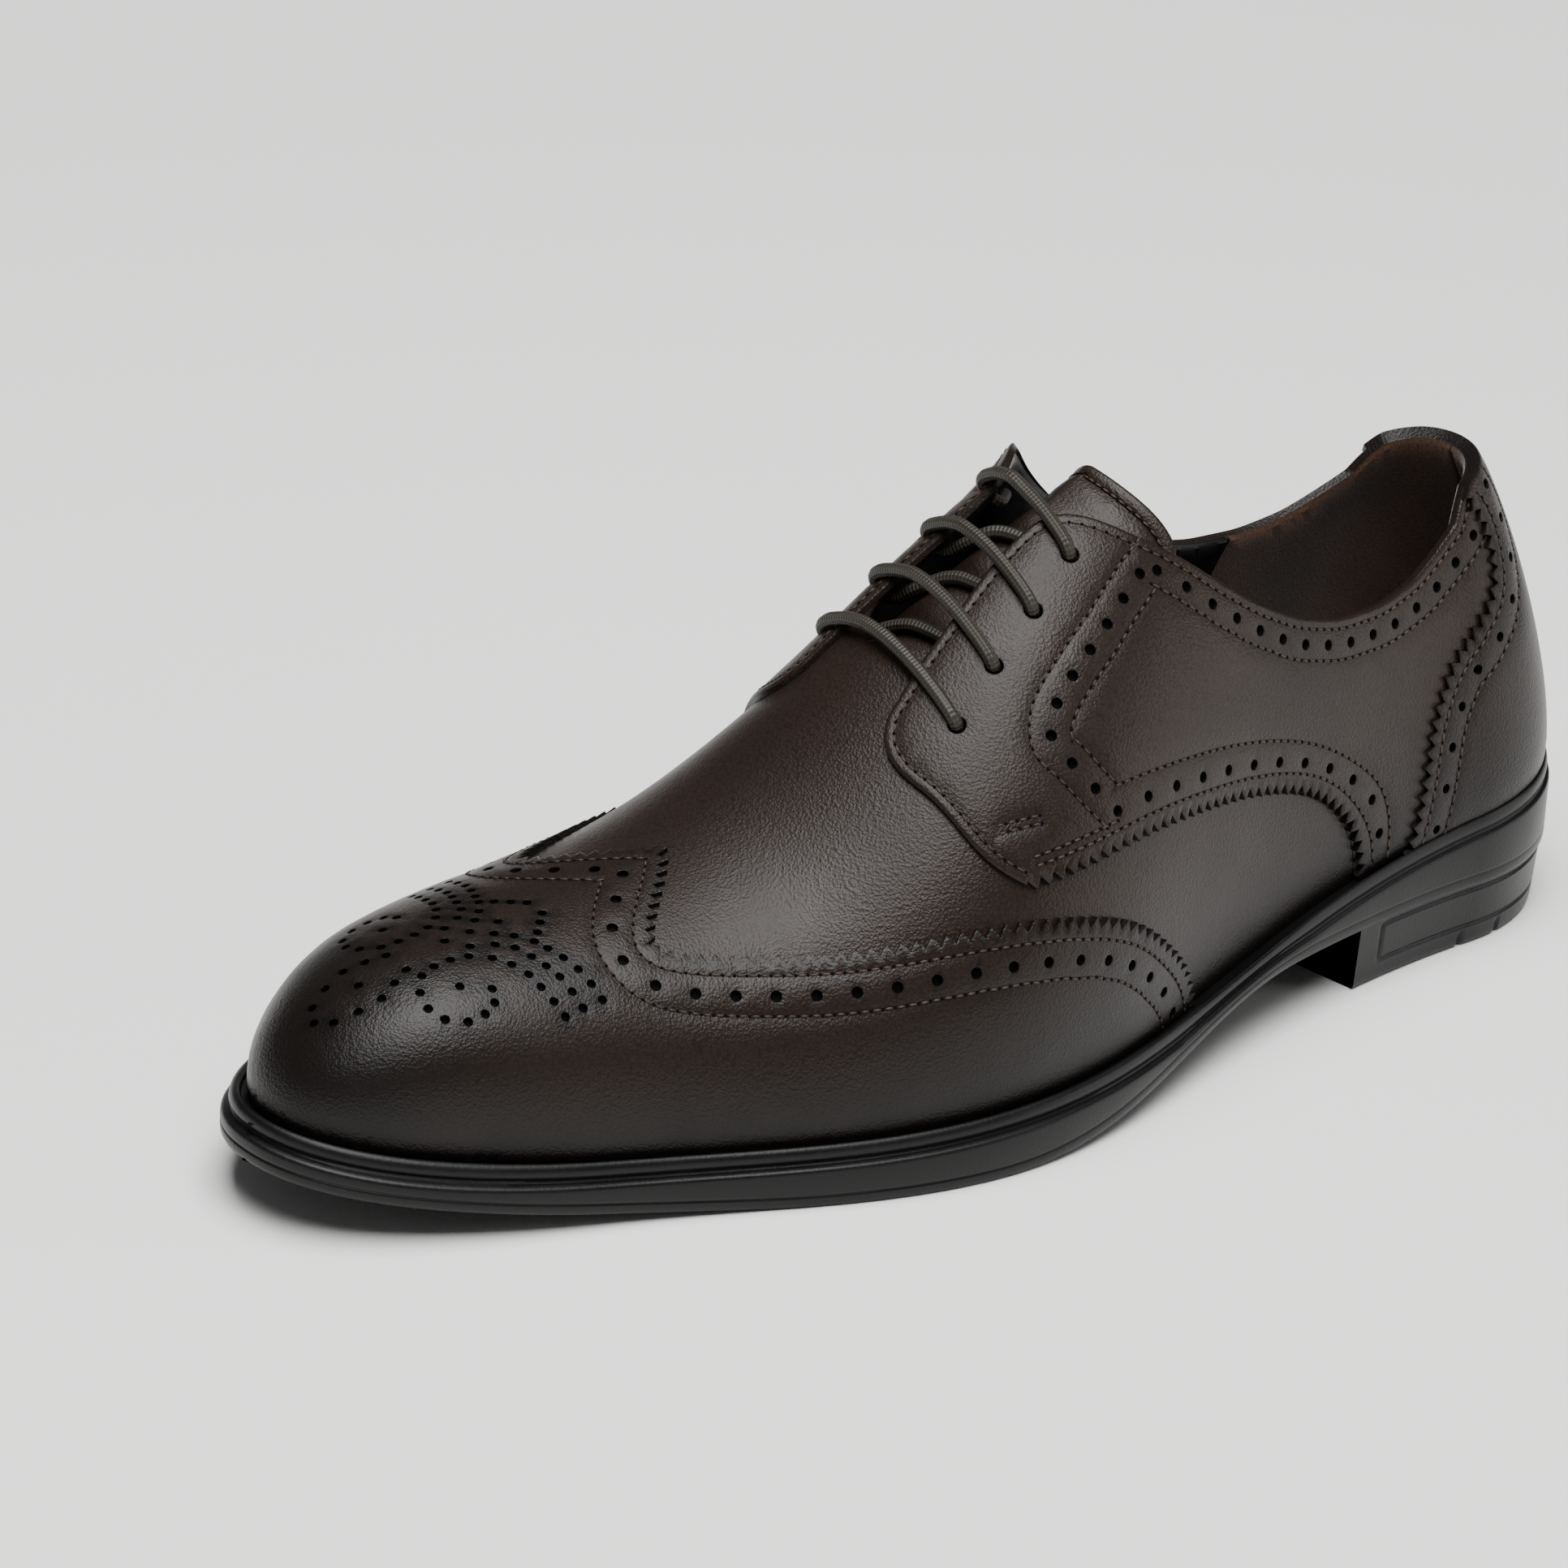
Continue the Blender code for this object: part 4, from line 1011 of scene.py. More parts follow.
@dataclass(frozen=True)
class WaxedCord:
    """Round braided cotton cord, waxed: two sets of strands cross over each other, with a dull sheen."""

    name: str
    # colour is the strands' tops, dark the painted shade in the hollows between them
    colour: str = "#302a1f"
    dark: str = "#13100b"
    # A strand is drawn 0.8 mm wide, about twice the real one, so that it shows
    strand_mm: float = 0.8
    strands: int = 8
    roughness: float = 0.55

    def material(self) -> bpy.types.Material:
        """Build the material from the cord's own UV map: millimetres along and shares round it."""
        finish, tree, shader = start_material(self.name)
        place = add_node(tree, "UVMap", uv_map="braid")
        parts = add_node(tree, "SeparateXYZ", {0: place.outputs["UV"]})
        sets = []
        for turn in (1.0, -1.0):
            along = add_node(tree, "Math", {0: parts.outputs["X"], 1: math.pi / self.strand_mm},
                             operation="MULTIPLY")
            around = add_node(tree, "Math", {0: parts.outputs["Y"], 1: turn * self.strands * math.pi},
                              operation="MULTIPLY")
            total = add_node(tree, "Math", {0: along.outputs[0], 1: around.outputs[0]}, operation="ADD")
            sets.append(add_node(tree, "Math", {0: total.outputs[0]}, operation="SINE").outputs[0])
        braid = add_node(tree, "Math", {0: sets[0], 1: sets[1]}, operation="MULTIPLY")
        height = add_node(tree, "MapRange", {"Value": braid.outputs[0], "From Min": -1.0, "From Max": 1.0})
        # The hollows between strands are drawn darker: painted shade that follows the bump
        base = add_node(tree, "Mix", {"Factor": height.outputs[0], "A": linear(self.dark),
                                      "B": linear(self.colour)}, data_type="RGBA")
        bump = add_node(tree, "Bump", {"Height": height.outputs[0], "Strength": 0.5, "Distance": 0.0004})
        tree.links.new(base.outputs["Result"], shader.inputs["Base Color"])
        tree.links.new(bump.outputs[0], shader.inputs["Normal"])
        shader.inputs["Roughness"].default_value = self.roughness
        return finish


class Finish(Enum):
    """The finishes of the shoe's pieces."""

    # Pressed and waxed calf in three depths of dye: the quarters warmest, the toe and heel darkest
    VAMP = Calf("calf_leather_vamp")
    BURNISHED = Calf("calf_leather_burnished", colour="#241b16")
    QUARTER = Calf("calf_leather_quarter", colour="#291f19")
    # Painted shadow at the foot of a punched hole and in each needle hole: matt and all but black, so the
    # hole reads as deep
    PAINTED_HOLE_SHADOW = Plain("painted_hole_shadow", "#060505", "#030202", 0.5, 0.2, 0.9, level=0.1)
    # Glazed sheepskin: even, near black, with a faint broad shine
    LINING = Plain("smooth_lining_leather", "#171516", "#0c0b0c", 0.6, 0.12, 0.40)
    # Brushed split leather: a light brown nap without a highlight, soft at its rim
    SUEDE = Plain("suede_heel_lining", "#4e3424", "#2b1b11", 0.25, 0.5, 0.92, 0.25, level=0.1)
    # Cut and undyed edge: a warm ring of open fibre in each eyelet
    RAW_EDGE = Plain("raw_leather_edge", "#5a3420", "#2c1810", 0.3, 0.4, 0.8)
    # Twisted and waxed linen: a little lighter than the leather, each stitch with a small glint
    THREAD = Plain("waxed_linen_thread", "#43332a", "#261b15", 0.2, 0.5, 0.50)
    # Rubber from a fine-eroded mould: black, with a grey satin haze along its bead
    RUBBER = Plain("moulded_rubber", "#0c0c0c", "#060606", 0.35, 0.14, 0.40, level=0.24)
    # Braided cotton under wax: a small diamond pattern that breaks the shine
    CORD = WaxedCord("waxed_braided_cord")


# Lines of the pattern, at as a share of the last's length or in millimetres, and the girth's share
COLLAR_EDGE = (
    (-0.068, 0.215), (0.000, 0.218), (0.070, 0.232), (0.104, 0.276), (0.134, 0.350), (0.162, 0.408),
    (0.197, 0.440), (0.239, 0.444), (0.278, 0.418), (0.314, 0.368), (0.345, 0.308),
)
FACING_EDGE = ((0.445, 0.064), (0.472, 0.071), (0.508, 0.092), (0.547, 0.117), (0.572, 0.146))
CORNER_EDGE = {
    OUTER: ((0.375, 0.234), (0.400, 0.172), (0.416, 0.118), (0.430, 0.078)),
    INNER: ((0.372, 0.226), (0.384, 0.184), (0.394, 0.130), (0.406, 0.086), (0.422, 0.064)),
}
EYELETS_MM = {
    OUTER: ((166.6, 0.256), (156.2, 0.218), (145.4, 0.188), (134.4, 0.150)),
    INNER: ((165.0, 0.205), (154.6, 0.165), (144.0, 0.137), (132.6, 0.102)),
}
THROAT_END = 166.0
THROAT_ROUND = 10.0
FRONT_MM = ((174.5, 0.146), (177.0, 0.176), (178.1, 0.218), (176.5, 0.326), (172.4, 0.490), (165.9, 0.582))
LOW_MM = (
    (165.9, 0.582), (151.5, 0.603), (135.2, 0.619), (121.9, 0.640), (107.1, 0.669), (92.3, 0.711),
    (81.1, 0.766), (73.9, 0.833), (69.2, 0.912), (67.7, 1.000),
)
UNDER_COUNTER_MM = (
    (58.0, 1.000), (49.0, 0.940), (45.5, 0.837), (41.0, 0.674), (28.6, 0.540), (17.9, 0.475),
    (14.8, 0.372), (20.0, 0.290), (23.5, 0.243),
)
EYESTAY_MM = (
    (118.0, 0.218), (126.0, 0.247), (136.7, 0.289), (147.4, 0.328), (152.0, 0.360), (153.2, 0.390),
    (152.0, 0.420), (148.5, 0.485), (143.9, 0.552),
)
BAND_HOLES_MM = (
    (143.9, 0.550), (129.1, 0.573), (112.2, 0.607), (94.4, 0.653), (77.5, 0.728), (70.4, 0.782),
    (65.3, 0.849), (63.7, 0.912),
)
BAND_TOP_MM = (
    (143.4, 0.513), (120.4, 0.552), (96.9, 0.607), (81.1, 0.669), (70.4, 0.741), (63.5, 0.816),
    (60.9, 0.890), (60.5, 0.985),
)
TACK_MM = ((168.9, 0.452), (160.2, 0.481))
COUNTER_MM = (
    (28.5, 0.262), (22.0, 0.310), (19.8, 0.372), (23.0, 0.480), (33.0, 0.545), (40.8, 0.603),
    (45.9, 0.674), (49.4, 0.762), (51.0, 0.837), (53.5, 0.946), (54.9, 1.000),
)
WING = (
    (0.00, 0.704), (0.04, 0.711), (0.16, 0.735), (0.27, 0.753), (0.35, 0.753), (0.41, 0.731), (0.47, 0.698),
    (0.55, 0.644), (0.62, 0.577), (0.71, 0.498), (0.76, 0.465), (0.84, 0.430), (0.92, 0.405), (1.00, 0.392),
)
# Medallion: millimetres across from the ridge and along from the heel, one half
MEDALLION_ON_RIDGE = (251.5, 257.5, 263.0, 281.0, 290.0)
MEDALLION_HALF = (
    (2.3, 243.5), (4.4, 245.5), (6.6, 247.6), (8.4, 249.6), (2.9, 254.4), (5.3, 251.8), (5.7, 256.2),
    (8.2, 253.6), (11.0, 248.5), (14.1, 247.2), (17.4, 246.1), (20.9, 245.4), (24.4, 244.9), (11.4, 252.3),
    (14.4, 251.1), (17.4, 250.1), (20.9, 249.5), (24.4, 249.0), (11.5, 256.6), (14.7, 255.1), (17.9, 254.4),
    (21.3, 253.6), (24.6, 252.8), (3.9, 260.3), (8.6, 258.8), (6.2, 262.2), (5.4, 265.6), (5.4, 269.0),
    (11.8, 267.9), (14.7, 262.9), (17.3, 263.9), (18.5, 266.5), (18.4, 269.9), (16.0, 273.4), (12.7, 275.0),
    (9.2, 274.5), (6.2, 272.1), (3.1, 273.2), (4.5, 276.6), (5.8, 280.2), (5.0, 284.4), (3.2, 288.2),
)


@dataclass
class Pattern:
    """The lines of the uppers' pattern, drawn flat, and the threads that sew it."""

    last: Last
    soften_mm: float = 2.5
    hole_mm: float = 2.2
    small_hole_mm: float = 1.8
    eyelet_mm: float = 3.6

    def __post_init__(self) -> None:
        """Draw the softened top edge."""
        self.top_ats = np.arange(-21.0, 175.0, 0.5)
        reach = int(4 * self.soften_mm)
        weights = np.exp(-0.5 * (np.arange(-reach, reach + 1) * 0.5 / self.soften_mm)**2)
        self.top_girths = {}
        for side, corner in CORNER_EDGE.items():
            raw = read_table(COLLAR_EDGE + corner + FACING_EDGE, self.top_ats * MM / self.last.length)
            padded = np.pad(raw, reach, mode="edge")
            self.top_girths[side] = np.convolve(padded, weights / weights.sum(), mode="valid")

    def top_girth(self, at_mm: Values, side: float = OUTER) -> np.ndarray:
        """Return the girth of the uppers' top edge."""
        return np.interp(at_mm, self.top_ats, self.top_girths[side])

    def top(self, side: float, start: float, end: float) -> np.ndarray:
        """Return the top edge of one side between two places."""
        at = np.linspace(start, end, max(2, int(abs(end - start) / 0.8)))
        return self.last.flat(at * MM, side * self.top_girth(at, side))

    def line(self, table: Sequence, side: float, count: int = 120) -> np.ndarray:
        """Return a smooth line of one side through places in millimetres."""
        rows = np.array(table)
        return curve_through(self.last.flat(rows[:, 0] * MM, side * rows[:, 1]), count)

    def feather(self, side: float, start: float, end: float, step: float = 2.5) -> np.ndarray:
        """Draw the feather line of one side.

        Args:
            side: OUTER or INNER.
            start: Where it starts, in millimetres along the foot.
            end: Where it ends.
            step: Millimetres between its points.

        Returns:
            Its points in the flat pattern.
        """
        ys = np.interp([start * MM, end * MM], self.last.ats, self.last.ys)
        y = np.linspace(ys[0], ys[1], max(2, int(abs(ys[1] - ys[0]) / step)))
        at = np.interp(y, self.last.ys, self.last.ats)
        return self.last.flat(at, side)

    def into(self, line: np.ndarray, distance: float, target: np.ndarray,
             trim: bool = True) -> np.ndarray:
        """Draw a line beside another, towards a target.

        Args:
            line: Points of the flat pattern.
            distance: Millimetres between the two lines.
            target: The point on whose side the new line lies.
            trim: True to leave out points that come too near the line again at its bends.

        Returns:
            The new line's points.
        """
        middle = len(line) // 2
        left, right = (np.hypot(*(beside(self.last, line, way, trim=False)[middle] - target))
                       for way in (distance, -distance))
        return beside(self.last, line, distance if left < right else -distance, trim)

    def holes(self, line: np.ndarray, count: int, diameter: float) -> list:
        """Punch a row of holes along a line, evenly spaced from end to end.

        Args:
            line: Points of the flat pattern.
            count: How many holes it gets.
            diameter: Their width in millimetres.

        Returns:
            The rings of the holes.
        """
        run = run_length(self.last.drape(line, 0.0))
        centres = sample(line, run, np.linspace(0.0, run[-1], count))
        return [hole(self.last, centre, diameter) for centre in centres]

    @staticmethod
    def eyelet_places(side: float) -> np.ndarray:
        """Return at and turn of one side's eyelets, from the front to the top."""
        return np.array([(at * MM, side * girth) for at, girth in EYELETS_MM[side]])

    def eyelets(self, side: float) -> np.ndarray:
        """Return the middles of one side's eyelets in the flat pattern."""
        places = self.eyelet_places(side)
        return self.last.flat(places[:, 0], places[:, 1])


# Where the leather is burnished: how much, from where, and over what length
BURNISH_LOW = (0.75, 0.66, 0.34)
BURNISH_TOE = (0.85, 0.248, 0.050)
BURNISH_HEEL = (0.55, 0.030, -0.050)


def with_burnish(bm: bmesh.types.BMesh, last: Last) -> None:
    """Write how far each point is burnished: towards the toe, the heel and the feather line.

    Args:
        bm: The piece's mesh.
        last: The form.
    """
    burnish = bm.verts.layers.float.new("burnish")
    across, along = bm.verts.layers.float["flat_x"], bm.verts.layers.float["flat_y"]
    at, turn = last.lay(np.array([(vert[across], vert[along]) for vert in bm.verts]))
    places = ((BURNISH_LOW, np.abs(turn)), (BURNISH_TOE, at), (BURNISH_HEEL, at))
    shares = [most * smooth((place - start) / length) for (most, start, length), place in places]
    for vert, value in zip(bm.verts, np.max(shares, axis=0)):
        vert[burnish] = float(value)


def gathered(parts: Sequence[bmesh.types.BMesh]) -> bmesh.types.BMesh:
    """Put several meshes together.

    Args:
        parts: The meshes; all but the first are freed.

    Returns:
        The first mesh, with the others in it.
    """
    whole = parts[0]
    for part in parts[1:]:
        carrier = bpy.data.meshes.new("carrier")
        part.to_mesh(carrier)
        part.free()
        whole.from_mesh(carrier)
        bpy.data.meshes.remove(carrier)
    return whole


def joined(parts: Sequence[bmesh.types.BMesh]) -> bmesh.types.BMesh:
    """Return one mesh of several, merged where their points meet."""
    whole = gathered(parts)
    bmesh.ops.remove_doubles(whole, verts=whole.verts[:], dist=2e-5)
    bmesh.ops.recalc_face_normals(whole, faces=whole.faces[:])
    return whole


@dataclass
class Stitching:
    """Rows of lockstitch: each stitch is a short thread that dips into the leather at both ends."""

    last: Last
    finishes: list
    pitch: float = 2.3
    length: float = 1.75
    width: float = 0.52
    needle: float = 0.74
    needle_depth: float = 0.30
    sink: float = 0.00007
    batch: int = 24

    def bead(self, bm: bmesh.types.BMesh, place: np.ndarray, axes: tuple, sizes: tuple,
             finish: int) -> None:
        """Add a small flattened ball, for a thread or for the painted shadow of a needle hole.

        Args:
            bm: The mesh that takes it.
            place: Its middle.
            axes: Three unit vectors: along the row, across it and out of the leather.
            sizes: Its length, width and height in millimetres.
            finish: Its material number.
        """
        turn = Matrix(axes).transposed().to_4x4()
        stretch = Matrix.Diagonal((*(size / 2 * MM for size in sizes), 1.0))
        matrix = Matrix.Translation(place) @ turn @ stretch
        made = bmesh.ops.create_uvsphere(bm, u_segments=6, v_segments=4, radius=1.0, matrix=matrix)
        for face in {face for vert in made["verts"] for face in vert.link_faces}:
            face.material_index = finish

    def sew(self, name: str, rows: Sequence[np.ndarray], lift: float,
            depth: Optional[Callable] = None) -> bpy.types.Object:
        """Make the stitches of several rows as one piece.

        Args:
            name: Name of the piece.
            rows: Lines of the flat pattern.
            lift: Height of the leather's face over the form.
            depth: How far below the form the leather lies, as a function of at and turn.

        Returns:
            The object.
        """
        parts = []
        for row in rows:
            fine = evenly(self.last, row, self.pitch / 4)
            middle = evenly(self.last, row, self.pitch, ends=False)
            lifts = np.full(len(fine), lift - self.sink)
            mids = np.full(len(middle), lift - self.sink)
            if depth:
                lifts, mids = lifts - depth(*self.last.lay(fine)), mids - depth(*self.last.lay(middle))
            space, centres = self.last.drape(fine, lifts), self.last.drape(middle, mids)
            tangents = np.gradient(space, axis=0)
            normals = self.last.normals(*self.last.lay(middle))
            for index, (centre, normal) in enumerate(zip(centres, normals)):
                if index % self.batch == 0:
                    bm = bmesh.new()
                    parts.append(bm)
                along = Vector(tangents[np.argmin(((space - centre)**2).sum(1))]).normalized()
                up = Vector(normal)
                across = up.cross(along).normalized()
                up = along.cross(across)
                axes = (along, across, up)
                between = Vector(centre) + along * self.pitch / 2 * MM
                self.bead(bm, centre, axes, (self.length, self.width, self.width), THREAD)
                # A dark bead at each needle hole: painted shadow
                self.bead(bm, between, axes, (self.needle, self.needle, self.needle_depth), NEEDLE_HOLE_SHADOW)
        return finish_piece(name, gathered(parts), self.finishes, sharp=80.0)


@dataclass
class WingCap:
    """The toe overlay with its wings, pinked edge, band of holes and medallion."""

    pattern: Pattern
    row_mm: float = 3.1
    holes_mm: float = 6.9
    inner_row_mm: float = 10.4
    holes_count: int = 41

    def half_edge(self, side: float) -> np.ndarray:
        """Draw the edge of one side, from the peak on the ridge down to the feather line.

        Args:
            side: OUTER or INNER.

        Returns:
            The edge's points in the flat pattern.
        """
        rows = np.array(WING)
        girth = np.linspace(0.0, 1.0, 160)
        at = natural_spline(rows[:, 0], rows[:, 1])(girth) * self.pattern.last.length
        return self.pattern.last.flat(at, side * girth)

    def build(self, finish: Sequence, stitching: Stitching) -> None:
        """Cut, punch, sew and lay the cap.

        Args:
            finish: The materials of its face and of the painted shadow on the floors of its holes.
            stitching: The rows' maker.
        """
        last = self.pattern.last
        halves = {side: self.half_edge(side) for side in (OUTER, INNER)}
        foot = halves[OUTER][-1][1], halves[INNER][-1][1]
        ats = [float(np.interp(y, last.ys, last.ats)) / MM for y in foot]
        teeth = {side: pinked(last, halves[side]) for side in (OUTER, INNER)}
        teeth[OUTER][0] = halves[OUTER][0] - [0.0, 1.0]
        tip = last.tip / MM
        outline = np.concatenate([
            teeth[OUTER][::-1], teeth[INNER][1:],
            self.pattern.feather(INNER, ats[1], tip)[1:],
            self.pattern.feather(OUTER, tip, ats[0])[1:-1],
        ])
        edge = np.concatenate([halves[OUTER][::-1], halves[INNER][1:]])
        target = last.flat(0.26, 0.0)
        rows = [self.pattern.into(edge, distance, target) for distance in (self.row_mm, self.inner_row_mm)]
        band = self.pattern.into(edge, self.holes_mm, target)[6:-6]
        punched = self.pattern.holes(band, self.holes_count, self.pattern.hole_mm)
        chart = [(0.0, at) for at in MEDALLION_ON_RIDGE]
        chart += [(side * across, at) for across, at in MEDALLION_HALF for side in (OUTER, INNER)]
        for across, at in chart:
            centre = (across, float(np.interp(at * MM, last.ats, last.ys)))
            punched.append(hole(last, centre, self.pattern.small_hole_mm, sides=10))
        # Painted shadow between the teeth: full over the first 22 % of each edge, lighter past it
        gap_shadows = [gap for side in (OUTER, INNER) for gap in tooth_gap_shadows(teeth[side], 1.0, 0.6, 0.22)]
        cutting = Cutting(outline, punched, rows, floored=len(punched), gap_shadows=gap_shadows)
        bm = cutting.mesh(last)
        with_burnish(bm, last)
        finish_piece("wing_cap_leather", bm, finish, ["wing_cap"])
        stitching.sew("wing_cap_stitches", rows, cutting.high)


@dataclass
class HeelCounter:
    """The overlay round the back of the heel, with its pinked edges."""

    pattern: Pattern
    high: float = 0.0026
    # Its teeth end on the quarter's face, and so do the floors of painted shadow between them
    on_quarter: float = 0.00155
    row_mm: float = 2.8
    holes_mm: float = 5.9
    inner_row_mm: float = 8.8
    holes_count: int = 10

    def build(self, finish: Sequence, stitching: Stitching) -> None:
        """Cut, punch, sew and lay the counter's two halves as one piece.

        Args:
            finish: The materials of its face and of the painted shadow on the floors of its holes.
            stitching: The rows' maker.
        """
        last, halves, rows = self.pattern.last, [], []
        back = last.back / MM
        for side in (OUTER, INNER):
            edge = self.pattern.line(COUNTER_MM, side)
            top = self.pattern.top(side, COUNTER_MM[0][0], back)
            down = np.linspace(self.pattern.top_girth(back), 1.0, 36)
            seam = last.flat(np.full(len(down), last.back), side * down)
            foot = self.pattern.feather(side, back, COUNTER_MM[-1][0])
            teeth = pinked(last, edge[::-1])
            outline = np.concatenate([teeth[:-1], top[:-1], seam[:-1], foot[:-1]])
            target = last.flat(0.0, side * 0.75)
            lines = [self.pattern.into(edge, distance, target)[4:-2]
                     for distance in (self.row_mm, self.inner_row_mm)]
            band = self.pattern.into(edge, self.holes_mm, target)[8:-6]
            punched = self.pattern.holes(band, self.holes_count, self.pattern.hole_mm * 0.9)
            # Painted shadow floors the gaps between the teeth, and painted shade darkens its cut edges
            cutting = Cutting(outline, punched, lines, high=self.high, floored=len(punched),
                              edge_shade=0.65, gap_shadow_lift=self.on_quarter, gap_shadows=tooth_gap_shadows(teeth, 1.0, 1.0))
            halves.append(cutting.mesh(last))
            rows += lines
        bm = joined(halves)
        with_burnish(bm, last)
        finish_piece("heel_counter_leather", bm, finish, ["heel_counter"])
        stitching.sew("heel_counter_stitches", rows, self.high)


@dataclass
class Quarter:
    """One flap with its eyelets, folded edges, bands of holes and pinked lower edge."""

    pattern: Pattern
    side: float
    name: str
    edge_row_mm: float = 2.0
    top_holes_mm: float = 5.0
    top_row_mm: float = 8.0
    low_row_mm: float = 3.1
    band_half_mm: float = 4.0
    double_mm: float = 1.7
    tack_mm: float = 1.5
    high: float = 0.00145
    centre: tuple = (0.105, 0.52)

    def outline(self) -> np.ndarray:
        """Return the flat outline, with the pinked lower edge."""
        pattern, side = self.pattern, self.side
        top = pattern.top(side, UNDER_COUNTER_MM[-1][0], FRONT_MM[0][0])
        front = pattern.line(FRONT_MM, side, 60)
        low = pinked(pattern.last, pattern.line(LOW_MM, side))
        foot = pattern.feather(side, LOW_MM[-1][0], UNDER_COUNTER_MM[0][0])
        under = pattern.line(UNDER_COUNTER_MM, side, 50)
        return np.concatenate([top[:-1], front[:-1], low[:-1], foot[:-1], under[:-1]])

    def rows(self) -> list:
        """Return the lines that are sewn."""
        pattern, last, side = self.pattern, self.pattern.last, self.side
        middle = last.flat(self.centre[0], side * self.centre[1])
        top = pattern.top(side, 27.0, FRONT_MM[0][0])
        front = pattern.line(FRONT_MM, side, 60)
        open_edge = np.concatenate([top[:-1], front])
        low = pattern.line(LOW_MM, side)
        eyestay = pattern.line(EYESTAY_MM, side)
        tack = pattern.line(TACK_MM, side, 8)
        front_end = low[:30]
        return [
            pattern.into(open_edge, self.edge_row_mm, middle)[:-3],
            pattern.into(pattern.top(side, 26.0, 117.0), self.top_row_mm, middle),
            pattern.into(low, self.low_row_mm, middle)[3:-3],
            pattern.into(front_end, self.low_row_mm + self.double_mm, last.flat(0.158, side * 0.45))[3:],
            pattern.into(eyestay, self.band_half_mm, last.flat(0.172, side * 0.30), trim=False),
            pattern.into(eyestay, self.band_half_mm, last.flat(0.120, side * 0.42))[10:-8],
            pattern.line(BAND_TOP_MM, side),
            tack,
            pattern.into(tack, self.tack_mm, last.flat(0.155, side * 0.60), trim=False),
        ]

    def holes(self) -> list:
        """Return the bands' holes."""
        pattern, last, side = self.pattern, self.pattern.last, self.side
        middle = last.flat(self.centre[0], side * self.centre[1])
        top = pattern.into(pattern.top(side, 26.0, 116.5), self.top_holes_mm, middle)
        eyestay = pattern.line(EYESTAY_MM, side)
        band = pattern.line(BAND_HOLES_MM, side)
        size = pattern.hole_mm
        rings = pattern.holes(top, 16, size) + pattern.holes(eyestay, 11, size)[1:]
        return rings + pattern.holes(band, 12, size)[1:]

    def build(self, finish: Sequence, stitching: Stitching) -> None:
        """Cut, punch, sew and lay the quarter.

        Args:
            finish: The materials of its face, of the painted shadow on the floors of its holes, and of its
                eyelets' walls.
            stitching: The rows' maker.
        """
        last = self.pattern.last
        eyelets = [hole(last, centre, self.pattern.eyelet_mm, 16)
                   for centre in self.pattern.eyelets(self.side)]
        rows, punched = self.rows(), self.holes()
        teeth = pinked(last, self.pattern.line(LOW_MM, self.side))
        # Painted shadow floors the gaps between the teeth
        cutting = Cutting(self.outline(), punched + eyelets, rows, high=self.high, edge_roll=0.0004,
                          edge_shade=0.4, floored=len(punched), gap_shadows=tooth_gap_shadows(teeth, 1.0, 1.0))
        bm = cutting.mesh(last)
        with_burnish(bm, last)
        self.paint_eyelets(bm)
        finish_piece(self.name + "_leather", bm, finish, [self.name])
        stitching.sew(self.name + "_stitches", rows, cutting.high)

    def paint_eyelets(self, bm: bmesh.types.BMesh) -> None:
        """Give the walls of the eyelets the finish of a raw cut."""
        under = bm.verts.layers.float["under"]
        middles = self.pattern.eyelets(self.side)
        for face, place in zip(bm.faces, face_places(bm)):
            sides = {vert[under] for vert in face.verts}
            away = np.hypot(*(middles - place).T).min()
            if len(sides) == 2 and away < self.pattern.eyelet_mm * 0.7:
                face.material_index = EYELET_WALL


